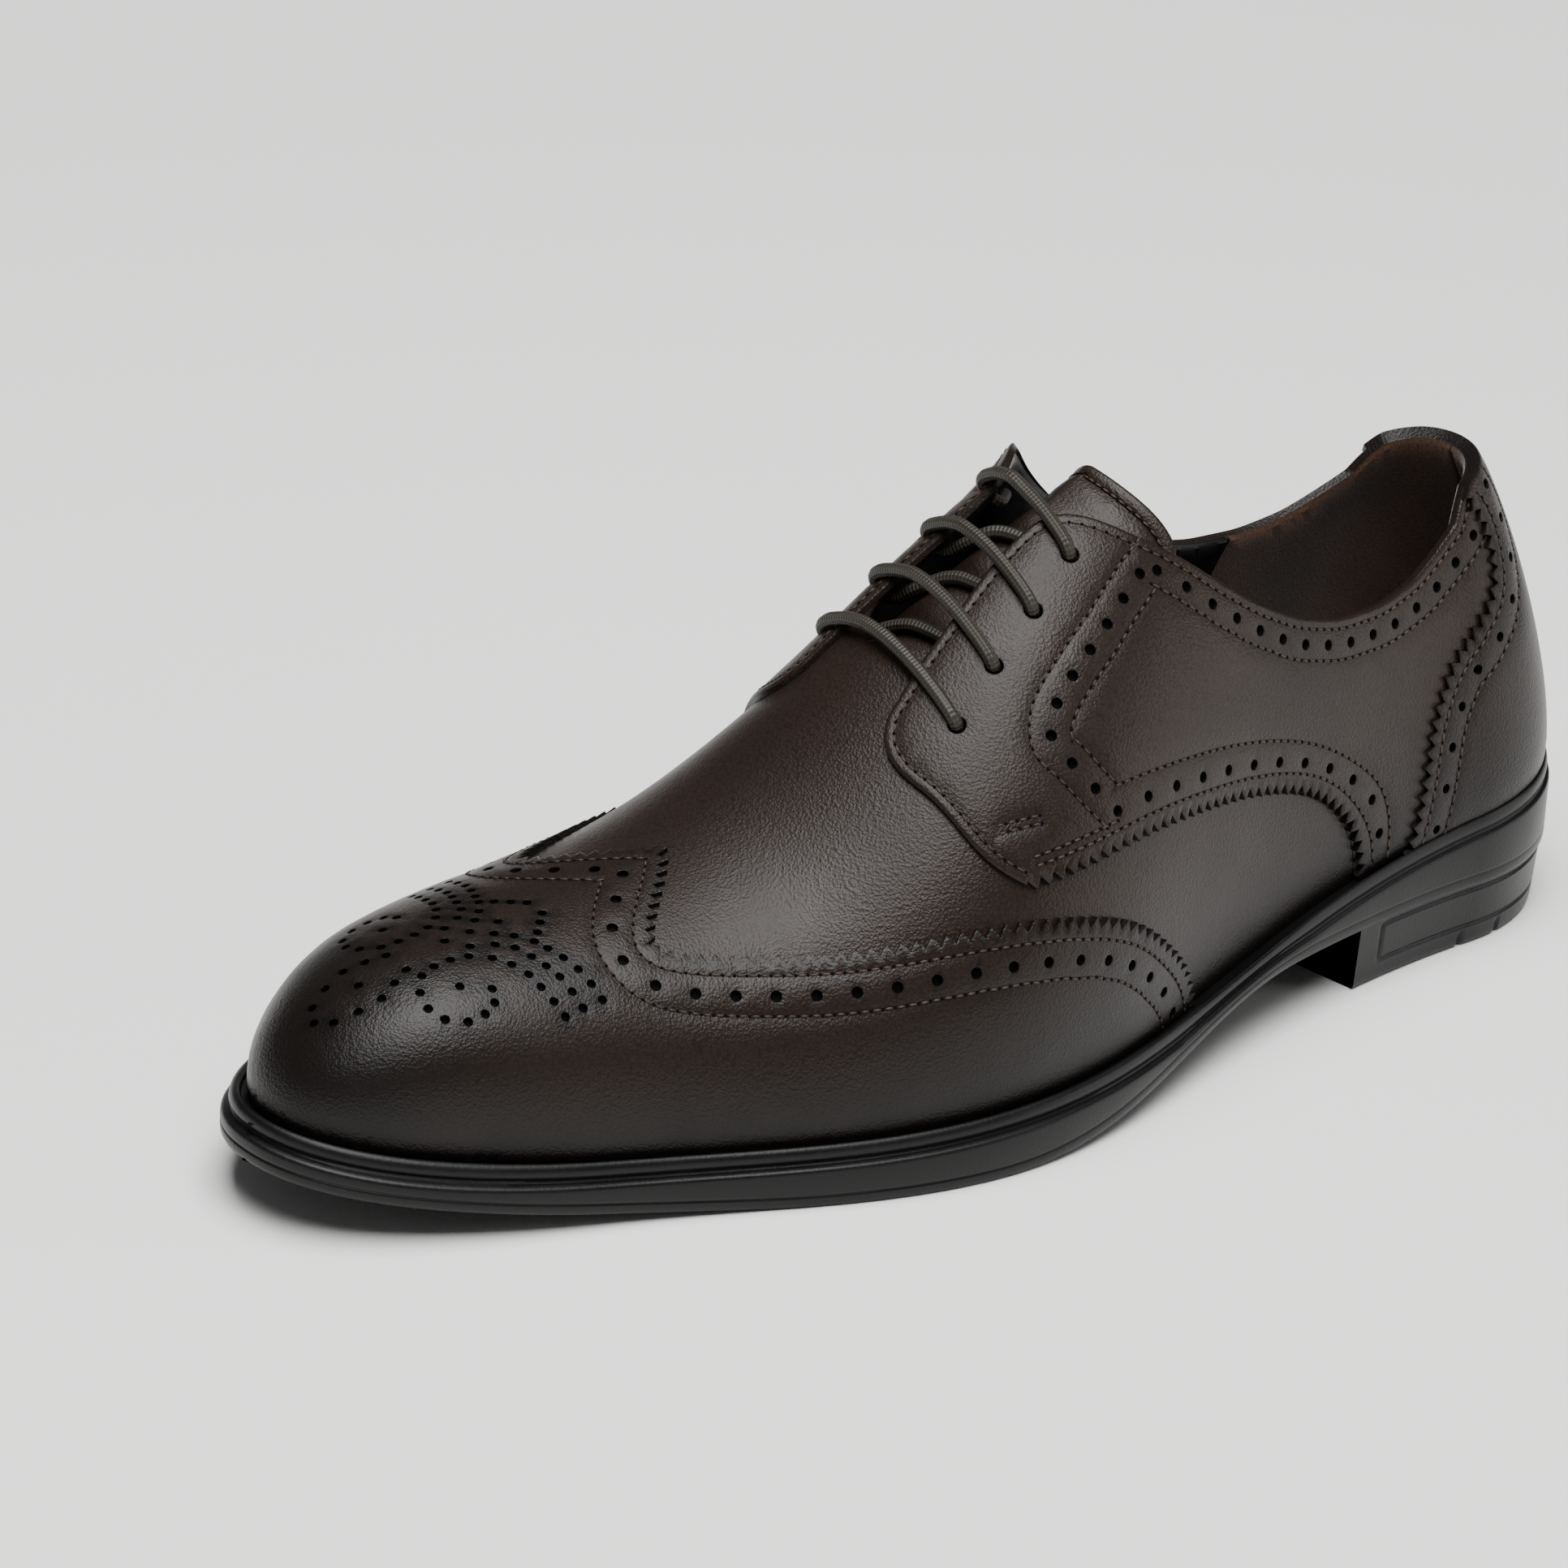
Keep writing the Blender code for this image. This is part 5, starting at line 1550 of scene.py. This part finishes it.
@dataclass
class Shell:
    """The vamp and the lining as one hollow wall under the overlays."""

    pattern: Pattern
    wall: float = 0.0018
    suede_end_mm: float = 62.0
    # How far the wall ends short of the flaps' edges at the throat, as a share of the girth, and where
    back_off: tuple = ((OUTER, 0.028), (INNER, 0.012))
    back_off_from: float = 108.0
    back_off_over: float = 12.0

    def outline(self) -> np.ndarray:
        """Return the flat outline: collar, throat, feather line and the open back seam."""
        pattern, last = self.pattern, self.pattern.last
        back, tip = last.back / MM, last.tip / MM
        edges = {}
        for side, away in self.back_off:
            collar = np.arange(back, THROAT_END - THROAT_ROUND, 0.8)
            throat = THROAT_END - THROAT_ROUND * np.cos(np.linspace(0.0, math.pi / 2, 12))
            at = np.concatenate([collar, throat])
            share = np.clip((at - (THROAT_END - THROAT_ROUND)) / THROAT_ROUND, 0.0, 1.0)
            short = away * smooth((at - self.back_off_from) / self.back_off_over)
            girth = (pattern.top_girth(at, side) + short) * np.sqrt(1.0 - share**2)
            edges[side] = last.flat(at * MM, side * girth)
        down = np.linspace(pattern.top_girth(back), 1.0, 36)
        seams = {side: last.flat(np.full(len(down), last.back), side * down) for side in (OUTER, INNER)}
        return np.concatenate([
            edges[OUTER], edges[INNER][-2::-1], seams[INNER][1:],
            pattern.feather(INNER, back, tip)[1:], pattern.feather(OUTER, tip, back)[1:],
            seams[OUTER][-2:0:-1],
        ])

    def lining_seam(self, turn: Values) -> np.ndarray:
        """Return where the suede of the heel meets the smooth lining, as at in metres."""
        return (self.suede_end_mm + 10.0 * np.sin(np.clip(np.abs(turn) - 0.4, 0.0, 0.6) * 2.6)) * MM

    def build(self, finishes: Sequence) -> None:
        """Cut and lay the wall and line it.

        Args:
            finishes: Vamp leather, smooth lining and suede.
        """
        last = self.pattern.last
        eyelets = [hole(last, centre, self.pattern.eyelet_mm, 16)
                   for side in (OUTER, INNER) for centre in self.pattern.eyelets(side)]
        turns = np.linspace(0.3, 1.0, 60)
        seams = [last.flat(self.lining_seam(turns), side * turns) for side in (OUTER, INNER)]
        cutting = Cutting(self.outline(), eyelets, seams, low=-self.wall, high=0.0, spacing=3.2, swell=0.0,
                          edge_roll=0.0, seam_sink=0.0, seam_shade=0.15, edge_shade=0.4, under_roll=0.0024)
        bm = cutting.mesh(last)
        with_burnish(bm, last)
        under = bm.verts.layers.float["under"]
        ats, turns = last.lay(face_places(bm))
        seam = self.lining_seam(turns)
        for index, face in enumerate(bm.faces):
            if sum(vert[under] for vert in face.verts) > len(face.verts) - 0.5:
                face.material_index = SUEDED if ats[index] < seam[index] else LINED
        finish_piece("vamp_and_lining", bm, finishes, ["upper"])


@dataclass
class Tongue:
    """The tongue: a padded tab with a stitched rim under the lace."""

    pattern: Pattern
    thickness: float = 0.0024
    wall: float = 0.0018
    top_mm: float = 117.5
    top_fall_mm: float = 6.5
    corner_mm: float = 3.0
    rim_mm: float = 2.8
    # At as a share of the last's length, depth in walls, and half width as a share of the girth
    table: tuple = (
        (0.362, 0.60, 0.255), (0.390, 2.30, 0.29), (0.415, 3.45, 0.33), (0.520, 3.45, 0.33),
        (0.558, 3.45, 0.30), (0.595, 1.17, 0.17),
    )

    def depth(self, at: Values, turn: Values) -> np.ndarray:
        """Return how deep the tongue lies under the form, as if the flaps lay flat."""
        rows = np.array(self.table)
        deep = self.wall * np.interp(np.asarray(at) / self.pattern.last.length, rows[:, 0], rows[:, 1])
        return deep + self.pattern.last.stand(at, turn)

    def build(self, finish: Sequence, stitching: Stitching) -> None:
        """Cut, sew and lay the tongue.

        Args:
            finish: Its one material.
            stitching: The rows' maker.
        """
        last = self.pattern.last
        rows = np.array(self.table)
        share = np.linspace(-1.0, 1.0, 41)
        fall = self.top_fall_mm * smooth(np.abs(share) / 0.9)
        corner = self.corner_mm * np.clip((np.abs(share) - 0.9) / 0.1, 0.0, 1.0)**2
        top_at = (self.top_mm - fall + corner) * MM
        top = last.flat(top_at, share * np.interp(top_at / last.length, rows[:, 0], rows[:, 2]))
        down = np.linspace(top_at[-1], last.length * rows[-1, 0], 50)
        half = np.interp(down / last.length, rows[:, 0], rows[:, 2])
        right, left = last.flat(down, half), last.flat(down, -half)
        foot = last.flat(np.full(15, down[-1]), np.linspace(half[-1], -half[-1], 15))
        outline = np.concatenate([top[:-1], right[:-1], foot[:-1], left[:0:-1]])
        rim_line = np.concatenate([left[12::-1], top[1:-1], right[:13]])
        rim = self.pattern.into(rim_line, self.rim_mm, last.flat(0.150, 0.0))
        cutting = Cutting(outline, [], [rim], low=-self.thickness, high=0.0, swell=0.0007,
                          edge_roll=0.0005, seam_sink=0.0004, edge_shade=0.4, depth=self.depth)
        bm = cutting.mesh(last)
        with_burnish(bm, last)
        finish_piece("tongue_leather", bm, finish, ["tongue"])
        stitching.sew("tongue_stitches", [rim], 0.0, self.depth)


def grid_solid(points: np.ndarray, merge: float = 1e-5, row_step: float = 0.0) -> bmesh.types.BMesh:
    """Make a closed mesh of a grid of points, merged where its edges meet, its faces outwards.

    Args:
        points: The points, by row and column.
        merge: Distance in metres within which points are one.
        row_step: Metres from row to row for the UV map of a braid, or 0 for none.

    Returns:
        The mesh.
    """
    rows, columns = points.shape[:2]
    bm = bmesh.new()
    bmesh.ops.create_grid(bm, x_segments=columns - 1, y_segments=rows - 1, size=1.0)
    if row_step:
        uv = bm.loops.layers.uv.new("braid")
        for loop in (loop for face in bm.faces for loop in face.loops):
            row = (loop.vert.co.y + 1.0) / 2 * (rows - 1)
            loop[uv].uv = (row * row_step / MM, (loop.vert.co.x + 1.0) / 2)
    for vert in bm.verts:
        column = round((vert.co.x + 1.0) / 2 * (columns - 1))
        row = round((vert.co.y + 1.0) / 2 * (rows - 1))
        vert.co = points[row, column]
    bmesh.ops.remove_doubles(bm, verts=bm.verts[:], dist=merge)
    if not row_step:
        bmesh.ops.dissolve_degenerate(bm, edges=bm.edges[:], dist=1e-6)
    bmesh.ops.recalc_face_normals(bm, faces=bm.faces[:])
    return bm


@dataclass
class Lacing:
    """One waxed cord through the eight eyelets: straight bars on top, slanted runs below."""

    pattern: Pattern
    diameter: float = 0.0027
    over: float = 0.0015
    wall: float = 0.0018
    gap: float = 0.0008
    bend: float = 0.0022
    end_girth: float = 0.055
    sides: int = 12
    step: float = 0.0009

    def corner(self, before: np.ndarray, at: np.ndarray, after: np.ndarray) -> list:
        """Round off a corner of the route.

        Args:
            before: A point on the way in.
            at: The corner.
            after: A point on the way out.

        Returns:
            Points on the arc.
        """
        a, b = before - at, after - at
        a, b = a / np.linalg.norm(a), b / np.linalg.norm(b)
        half = math.acos(float(np.clip(a @ b, -1.0, 1.0))) / 2
        middle = (a + b) / np.linalg.norm(a + b)
        centre = at + middle * self.bend / math.sin(half)
        first, last = (at + v * self.bend / math.tan(half) - centre for v in (a, b))
        turn = math.pi - 2 * half
        shares = np.linspace(0.0, 1.0, 6)
        return [centre + (first * math.sin((1 - k) * turn) + last * math.sin(k * turn)) / math.sin(turn)
                for k in shares]

    def route(self) -> np.ndarray:
        """Return the cord's middle line."""
        last = self.pattern.last
        top, below = self.over + self.diameter / 2, -(self.wall + self.gap + self.diameter / 2)
        outer, inner = self.pattern.eyelet_places(OUTER), self.pattern.eyelet_places(INNER)
        stops = [tuple(place) for pair in zip(outer, inner) for place in pair]
        lines = []
        for n, (start, end) in enumerate(zip(stops, stops[1:])):
            lift = below if n % 2 else top
            k = np.linspace(0.0, 1.0, 9)
            lines.append(last.on_form(mix(start[0], end[0], k), mix(start[1], end[1], k), np.full(9, lift)))
        hidden = [last.on_form(outer[k][0], outer[k][1] + self.end_girth, below) for k in (-1, 1)]
        entry, leave = last.on_form(*stops[0], below), last.on_form(*stops[-1], below)
        tail = last.on_form(stops[-1][0] - 0.0065, stops[-1][1] - self.end_girth, below)
        points = hidden + self.corner(hidden[-1], entry, lines[0][0])
        for n, line in enumerate(lines):
            before = entry if n == 0 else lines[n - 1][-1]
            after = lines[n + 1][0] if n + 1 < len(lines) else leave
            points += self.corner(before, line[0], line[1])
            points += [p for p in line[1:-1]
                       if min(np.linalg.norm(p - end) for end in (line[0], line[-1])) > self.bend * 1.3]
            points += self.corner(line[-2], line[-1], after)
        points += self.corner(lines[-1][-1], leave, tail) + [tail]
        return np.array(points)

    def build(self, finish: bpy.types.Material) -> None:
        """Sweep the cord along its route."""
        route = self.route()
        run = run_length(route)
        keep = np.concatenate([[True], np.diff(run) > 1e-6])
        route, run = route[keep], run[keep]
        wanted = np.arange(0.0, run[-1], self.step)
        path = sample(route, run, wanted)
        for _ in range(3):
            path[1:-1] = (path[:-2] + 2 * path[1:-1] + path[2:]) / 4
        tangents = np.gradient(path, axis=0)
        tangents /= np.linalg.norm(tangents, axis=1, keepdims=True)
        side = np.cross(tangents[0], [0.0, 0.0, 1.0])
        rings = []
        angles = np.linspace(0.0, 2 * math.pi, self.sides + 1)
        for point, tangent in zip(path, tangents):
            side = side - tangent * (side @ tangent)
            side /= np.linalg.norm(side)
            up = np.cross(tangent, side)
            spokes = np.cos(angles)[:, None] * side + np.sin(angles)[:, None] * up
            rings.append(point + spokes * self.diameter / 2)
        rings = [np.repeat(path[:1], self.sides + 1, 0)] + rings + [np.repeat(path[-1:], self.sides + 1, 0)]
        bm = grid_solid(np.array(rings), merge=1e-6, row_step=self.step)
        finish_piece("lace_cord", bm, [finish], ["lace"], sharp=80.0)


@dataclass
class RubberSole:
    """The moulded sole: a beaded welt, a waisted side, an arch, a heel block and a ribbed tread."""

    last: Last
    seat_edge: float = 0.0023
    side_room: float = 0.0068
    arch_height: float = 0.0137
    arch_back: float = 0.29
    arch_front: float = 0.60
    arch_power: float = 1.4
    spring: float = 0.012
    spring_from: float = 0.68
    spring_power: float = 1.8
    breast_outer: float = 0.0680
    breast_inner: float = 0.0770
    block_inset: float = 0.0006
    block_taper: float = 0.0010
    rib_pitch: float = 0.006
    rib_depth: float = 0.0011
    # Share of the free rim outwards, and millimetres below the feather line
    top_rows: tuple = (
        (0.00, 0.10), (0.04, -0.45), (0.12, -0.85), (0.22, -1.05), (0.34, -1.05), (0.46, -0.80),
        (0.55, -0.35), (0.60, 0.25), (0.61, 0.85), (0.57, 1.35), (0.50, 1.70), (0.455, 2.00), (0.46, 2.25),
        (0.52, 2.50), (0.66, 2.60), (0.80, 2.70), (0.90, 2.85), (0.96, 3.15), (0.985, 3.60),
    )
    # Share of the free rim outwards, and millimetres above the underside
    bottom_rows: tuple = (
        (1.000, 3.10), (0.985, 2.85), (0.940, 2.60), (0.930, 2.40), (0.975, 2.20), (0.990, 1.90),
        (0.985, 1.20), (0.950, 0.60), (0.880, 0.20), (0.780, 0.00), (0.660, 0.00),
    )
    # Shares of the way out from the middle, over the seat and back over the tread
    seat_shares: tuple = (0.0, 0.45, 0.80)
    tread_shares: tuple = (0.93, 0.90, 0.885, 0.86, 0.84, 0.60, 0.30, 0.0)
    seat_sink: float = 0.0006
    # The heel block in millimetres: its rows' heights and how far each is drawn in at its foot
    block_heights: tuple = (
        0.0, 0.0, 0.35, 0.9, 1.6, 2.6, 3.6, 4.0, 4.3, 4.6, 4.9, 5.2, 7.0, 9.0, 11.0, 12.0, 12.3, 12.6, 12.9,
        13.2, 13.7, 14.6,
    )
    block_foot: tuple = (1.3, 0.9, 0.35, 0.08) + (0.0,) * 18
    # Its framed panel: the two level grooves, the upright one, their half width and depth, the notches
    frame_levels: tuple = (4.6, 12.6)
    frame_start: float = 7.0
    frame_width: float = 0.35
    frame_depth: float = 0.42
    notches: tuple = (31.0, 42.0)
    notch_depth: float = 0.8
    notch_height: float = 3.0

    def underside(self, place: Values) -> np.ndarray:
        """Return the height of the sole's underside."""
        share = np.asarray(place, float) / self.last.length
        arch = smooth((self.arch_front - share) / (self.arch_front - self.arch_back))**self.arch_power
        lift = np.clip((share - self.spring_from) / (1.0 - self.spring_from), 0.0, 1.0)**self.spring_power
        return self.arch_height * arch + self.spring * lift

    def places(self) -> np.ndarray:
        """Return the places of the cross rows, evenly spaced along the sole's edge."""
        last = self.last
        turn_in = last.tip - last.toe_round
        heel = np.linspace(last.back, last.heel_round, 48)[:-1]
        straight = np.arange(last.heel_round, turn_in, 0.001)
        toe = last.ats[last.ats > turn_in]
        plan = last.outline(toe, OUTER, 0.0)[0]
        run = run_length(plan)
        return np.concatenate([heel, straight, np.interp(np.linspace(0.0, run[-1], 74), run, toe)])

    def rib(self, place: np.ndarray, share: float) -> np.ndarray:
        """Find the depth of the tread's cross grooves, within its plain border.

        Args:
            place: Places along the foot in metres.
            share: How far out from the middle they lie, from 0 to 1.

        Returns:
            The depths in metres.
        """
        phase = np.mod(place, self.rib_pitch) / self.rib_pitch
        groove = smooth((0.17 - np.abs(phase - 0.5)) / 0.09)
        along = np.asarray(place) / self.last.length
        front = smooth((along - 0.60) / 0.02) * smooth((0.955 - along) / 0.02)
        return self.rib_depth * groove * front * smooth((0.88 - share) / 0.04)

    def build(self, rubber: bpy.types.Material) -> None:
        """Make the sole with its edge and tread, and the heel block under it."""
        last, at = self.last, self.places()
        columns = []
        for side in (OUTER, INNER):
            _, edge_place = last.outline(at, side, 0.0)
            rim, feather = last.rim(edge_place), last.place(at, side)[:, 2]
            free = rim - self.seat_edge
            scale = np.minimum(1.0, (feather - self.underside(edge_place)) / self.side_room)
            middle_at = np.maximum(at, last.heel_round)
            forward = (middle_at - last.heel_round) / (last.tip - last.heel_round)
            middle_place = mix(last.heel_round, last.length, forward)
            middle = np.stack([last.centre_x(middle_place), last.length / 2 - middle_place], -1)
            seat = last.place(at, side)[:, :2]
            sunk = (feather - self.seat_sink)[:, None]
            rows = [np.concatenate([mix(middle, seat, k), sunk], 1) for k in self.seat_shares]
            for out, drop in self.top_rows:
                plan, _ = last.outline(at, side, free * (1.0 - out))
                rows.append(np.concatenate([plan, (feather - drop * MM * scale)[:, None]], 1))
            for out, rise in self.bottom_rows:
                plan, place = last.outline(at, side, free * (1.0 - out))
                rows.append(np.concatenate([plan, (self.underside(place) + rise * MM * scale)[:, None]], 1))
            rim_plan, _ = last.outline(at, side, free * (1.0 - self.bottom_rows[-1][0]))
            for share in self.tread_shares:
                plan = mix(middle, rim_plan, share / self.tread_shares[0])
                place = last.length / 2 - plan[:, 1]
                height = self.underside(place) + self.rib(place, share)
                rows.append(np.concatenate([plan, height[:, None]], 1))
            columns.append(np.array(rows).transpose(1, 0, 2))
        bm = grid_solid(np.concatenate([columns[0], columns[1][::-1][1:]]))
        finish_piece("rubber_sole", bm, [rubber], ["outsole"], sharp=35.0)
        self.build_heel(rubber)

    def panel(self, run: np.ndarray, height: float) -> np.ndarray:
        """Return how deep the side of the heel block is cut at a run from its breast and a height.

        Args:
            run: Millimetres along the block's side from the breast, on the nearer side.
            height: Millimetres above the floor.

        Returns:
            The depth in millimetres of the thin grooves that frame its panel.
        """
        lines = 0.0 * run
        within = smooth((run - 6.5) / 0.5)
        for level in self.frame_levels:
            lines = np.maximum(lines, within * smooth(1.4 - abs(height - level) / self.frame_width))
        upright = smooth((height - 4.4) / 0.4) * smooth((12.8 - height) / 0.4)
        upright = upright * smooth(1.4 - np.abs(run - self.frame_start) / self.frame_width)
        cut = self.frame_depth * np.maximum(lines, upright)
        for notch in self.notches:
            slot = self.notch_depth * smooth(1.5 - np.abs(run - notch) / 0.4)
            cut = np.maximum(cut, slot * (height < self.notch_height))
        return cut

    def build_heel(self, rubber: bpy.types.Material) -> None:
        """Make the heel block, with its framed side and its notched edge."""
        last = self.last
        sides = []
        for side, breast in ((OUTER, self.breast_outer), (INNER, self.breast_inner)):
            straight = np.arange(breast, last.heel_round, -0.0006)
            at = np.concatenate([straight, np.linspace(last.heel_round, last.back, 90)])
            sides.append((np.full(len(at), side), at))
        side = np.concatenate([sides[0][0], sides[1][0][::-1][1:]])
        at = np.concatenate([sides[0][1], sides[1][1][::-1][1:]])
        edge, _ = last.outline(at, side, 0.0)
        run = run_length(edge) / MM
        near = np.minimum(run, run[-1] - run)
        rows = []
        for height, extra in zip(self.block_heights, self.block_foot):
            inset = self.block_inset + self.block_taper * (1.0 - height / 13.7) + extra * MM
            plan, _ = last.outline(at, side, inset + self.panel(near, height) * MM)
            rows.append(np.concatenate([plan, np.full((len(plan), 1), height * MM)], 1))
        middle = np.array([last.centre_x(last.heel_round), last.length / 2 - last.heel_round])
        breast_a, breast_b = rows[0][0], rows[0][-1]
        foot = rows[0].copy()
        share = (run / run[-1])[:, None]
        foot[:, :2] = mix(foot[:, :2], mix(middle, mix(breast_a, breast_b, share)[:, :2], 0.75), 0.6)
        rows.insert(0, foot)
        core = foot.copy()
        core[:, :2] = mix(breast_a[:2], breast_b[:2], share)
        rows.insert(0, core)
        lid = core.copy()
        lid[:, 2] = self.block_heights[-1] * MM
        rows.append(lid)
        bm = grid_solid(np.array(rows).transpose(1, 0, 2))
        finish_piece("heel_block", bm, [rubber], ["outsole"], sharp=35.0)


@dataclass
class Studio:
    """The pale floor, the soft lights and the camera at the photograph's angle."""

    azimuth: float = 50.0
    elevation: float = 25.69
    roll: float = 3.587
    distance: float = 1.6826
    lens_mm: float = 203.16
    aim: tuple = (-0.02139, -0.01995, 0.04978)
    floor_size: float = 12.0
    sky_strength: float = 0.12
    # Each soft light's name, place, width, depth and watts
    lights: tuple = (
        ("overhead", (0.30, -0.20, 1.75), 1.2, 1.7, 76.0),
        ("side", (1.5, 1.9, 0.55), 1.0, 1.0, 12.0),
    )

    def place_camera(self) -> None:
        """Create the camera and set it as the scene's."""
        azimuth, elevation, roll = (math.radians(v) for v in (self.azimuth, self.elevation, self.roll))
        reach = math.cos(elevation)
        back = Vector((reach * math.sin(azimuth), -reach * math.cos(azimuth), math.sin(elevation)))
        level = Vector((math.cos(azimuth), math.sin(azimuth), 0.0))
        right = level * math.cos(roll) + back.cross(level) * math.sin(roll)
        up = back.cross(right)
        data = bpy.data.cameras.new("camera")
        data.lens = self.lens_mm
        data.sensor_width = 36.0
        data.clip_end = 50.0
        camera = bpy.data.objects.new("camera", data)
        turn = Matrix((right, up, back)).transposed().to_4x4()
        camera.matrix_world = Matrix.Translation(Vector(self.aim) + back * self.distance) @ turn
        bpy.context.scene.collection.objects.link(camera)
        bpy.context.scene.camera = camera

    def add_light(self, name: str, place: tuple, width: float, depth: float, power: float) -> None:
        """Add an oblong soft light that faces the shoe.

        Args:
            name: Its name.
            place: Where it hangs, in metres.
            width: Its width in metres.
            depth: Its depth in metres.
            power: Its power in watts.
        """
        data = bpy.data.lights.new(name, "AREA")
        data.shape = "RECTANGLE"
        data.size = width
        data.size_y = depth
        data.energy = power
        lamp = bpy.data.objects.new(name, data)
        direction = Vector(self.aim) - Vector(place)
        turn = direction.to_track_quat("-Z", "Y").to_matrix().to_4x4()
        lamp.matrix_world = Matrix.Translation(place) @ turn
        bpy.context.scene.collection.objects.link(lamp)

    def build(self) -> None:
        """Lay the floor and set the lights and the camera."""
        self.place_camera()
        bm = bmesh.new()
        bmesh.ops.create_grid(bm, x_segments=1, y_segments=1, size=self.floor_size / 2)
        mesh = bpy.data.meshes.new("floor")
        bm.to_mesh(mesh)
        bm.free()
        floor = bpy.data.objects.new("floor", mesh)
        floor.location = (0.0, 0.0, -0.00005)
        bpy.context.scene.collection.objects.link(floor)
        paper, _, shader = start_material("matt_white_paper")
        shader.inputs["Base Color"].default_value = linear("#f4f3f1")
        shader.inputs["Roughness"].default_value = 0.9
        mesh.materials.append(paper)
        world = bpy.data.worlds.new("studio")
        world.use_nodes = True
        sky = world.node_tree.nodes["Background"]
        sky.inputs["Color"].default_value = linear("#f5f6f8")
        sky.inputs["Strength"].default_value = self.sky_strength
        bpy.context.scene.world = world
        for light in self.lights:
            self.add_light(*light)


def dress_insole(frame: dict, finish: bpy.types.Material) -> None:
    """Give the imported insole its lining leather."""
    item = frame["nodes"]["insole"]
    item.data.materials.clear()
    item.data.materials.append(finish)


def main() -> None:
    """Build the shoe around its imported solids, one sub-assembly after another."""
    logging.basicConfig(level=logging.INFO, format="%(name)s: %(message)s")
    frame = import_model()
    Studio().build()
    finish = {kind: kind.value.material() for kind in Finish}
    low, high = (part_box("outsole")[k] for k in (0, 1))
    last = Last(length=round(high.y - low.y, 4))
    pattern = Pattern(last)
    stitching = Stitching(last, [finish[Finish.THREAD], finish[Finish.PAINTED_HOLE_SHADOW]])

    for overlay in (WingCap(pattern), HeelCounter(pattern)):
        overlay.build([finish[Finish.BURNISHED], finish[Finish.PAINTED_HOLE_SHADOW]], stitching)
    flap = [finish[kind] for kind in (Finish.QUARTER, Finish.PAINTED_HOLE_SHADOW, Finish.RAW_EDGE)]
    for side, name in ((OUTER, "quarter_outer"), (INNER, "quarter_inner")):
        Quarter(pattern, side, name).build(flap, stitching)
    Shell(pattern).build([finish[kind] for kind in (Finish.VAMP, Finish.LINING, Finish.SUEDE)])
    Tongue(pattern).build([finish[Finish.QUARTER]], stitching)
    Lacing(pattern).build(finish[Finish.CORD])
    RubberSole(last).build(finish[Finish.RUBBER])
    dress_insole(frame, finish[Finish.LINING])


if __name__ == "__main__":
    main()
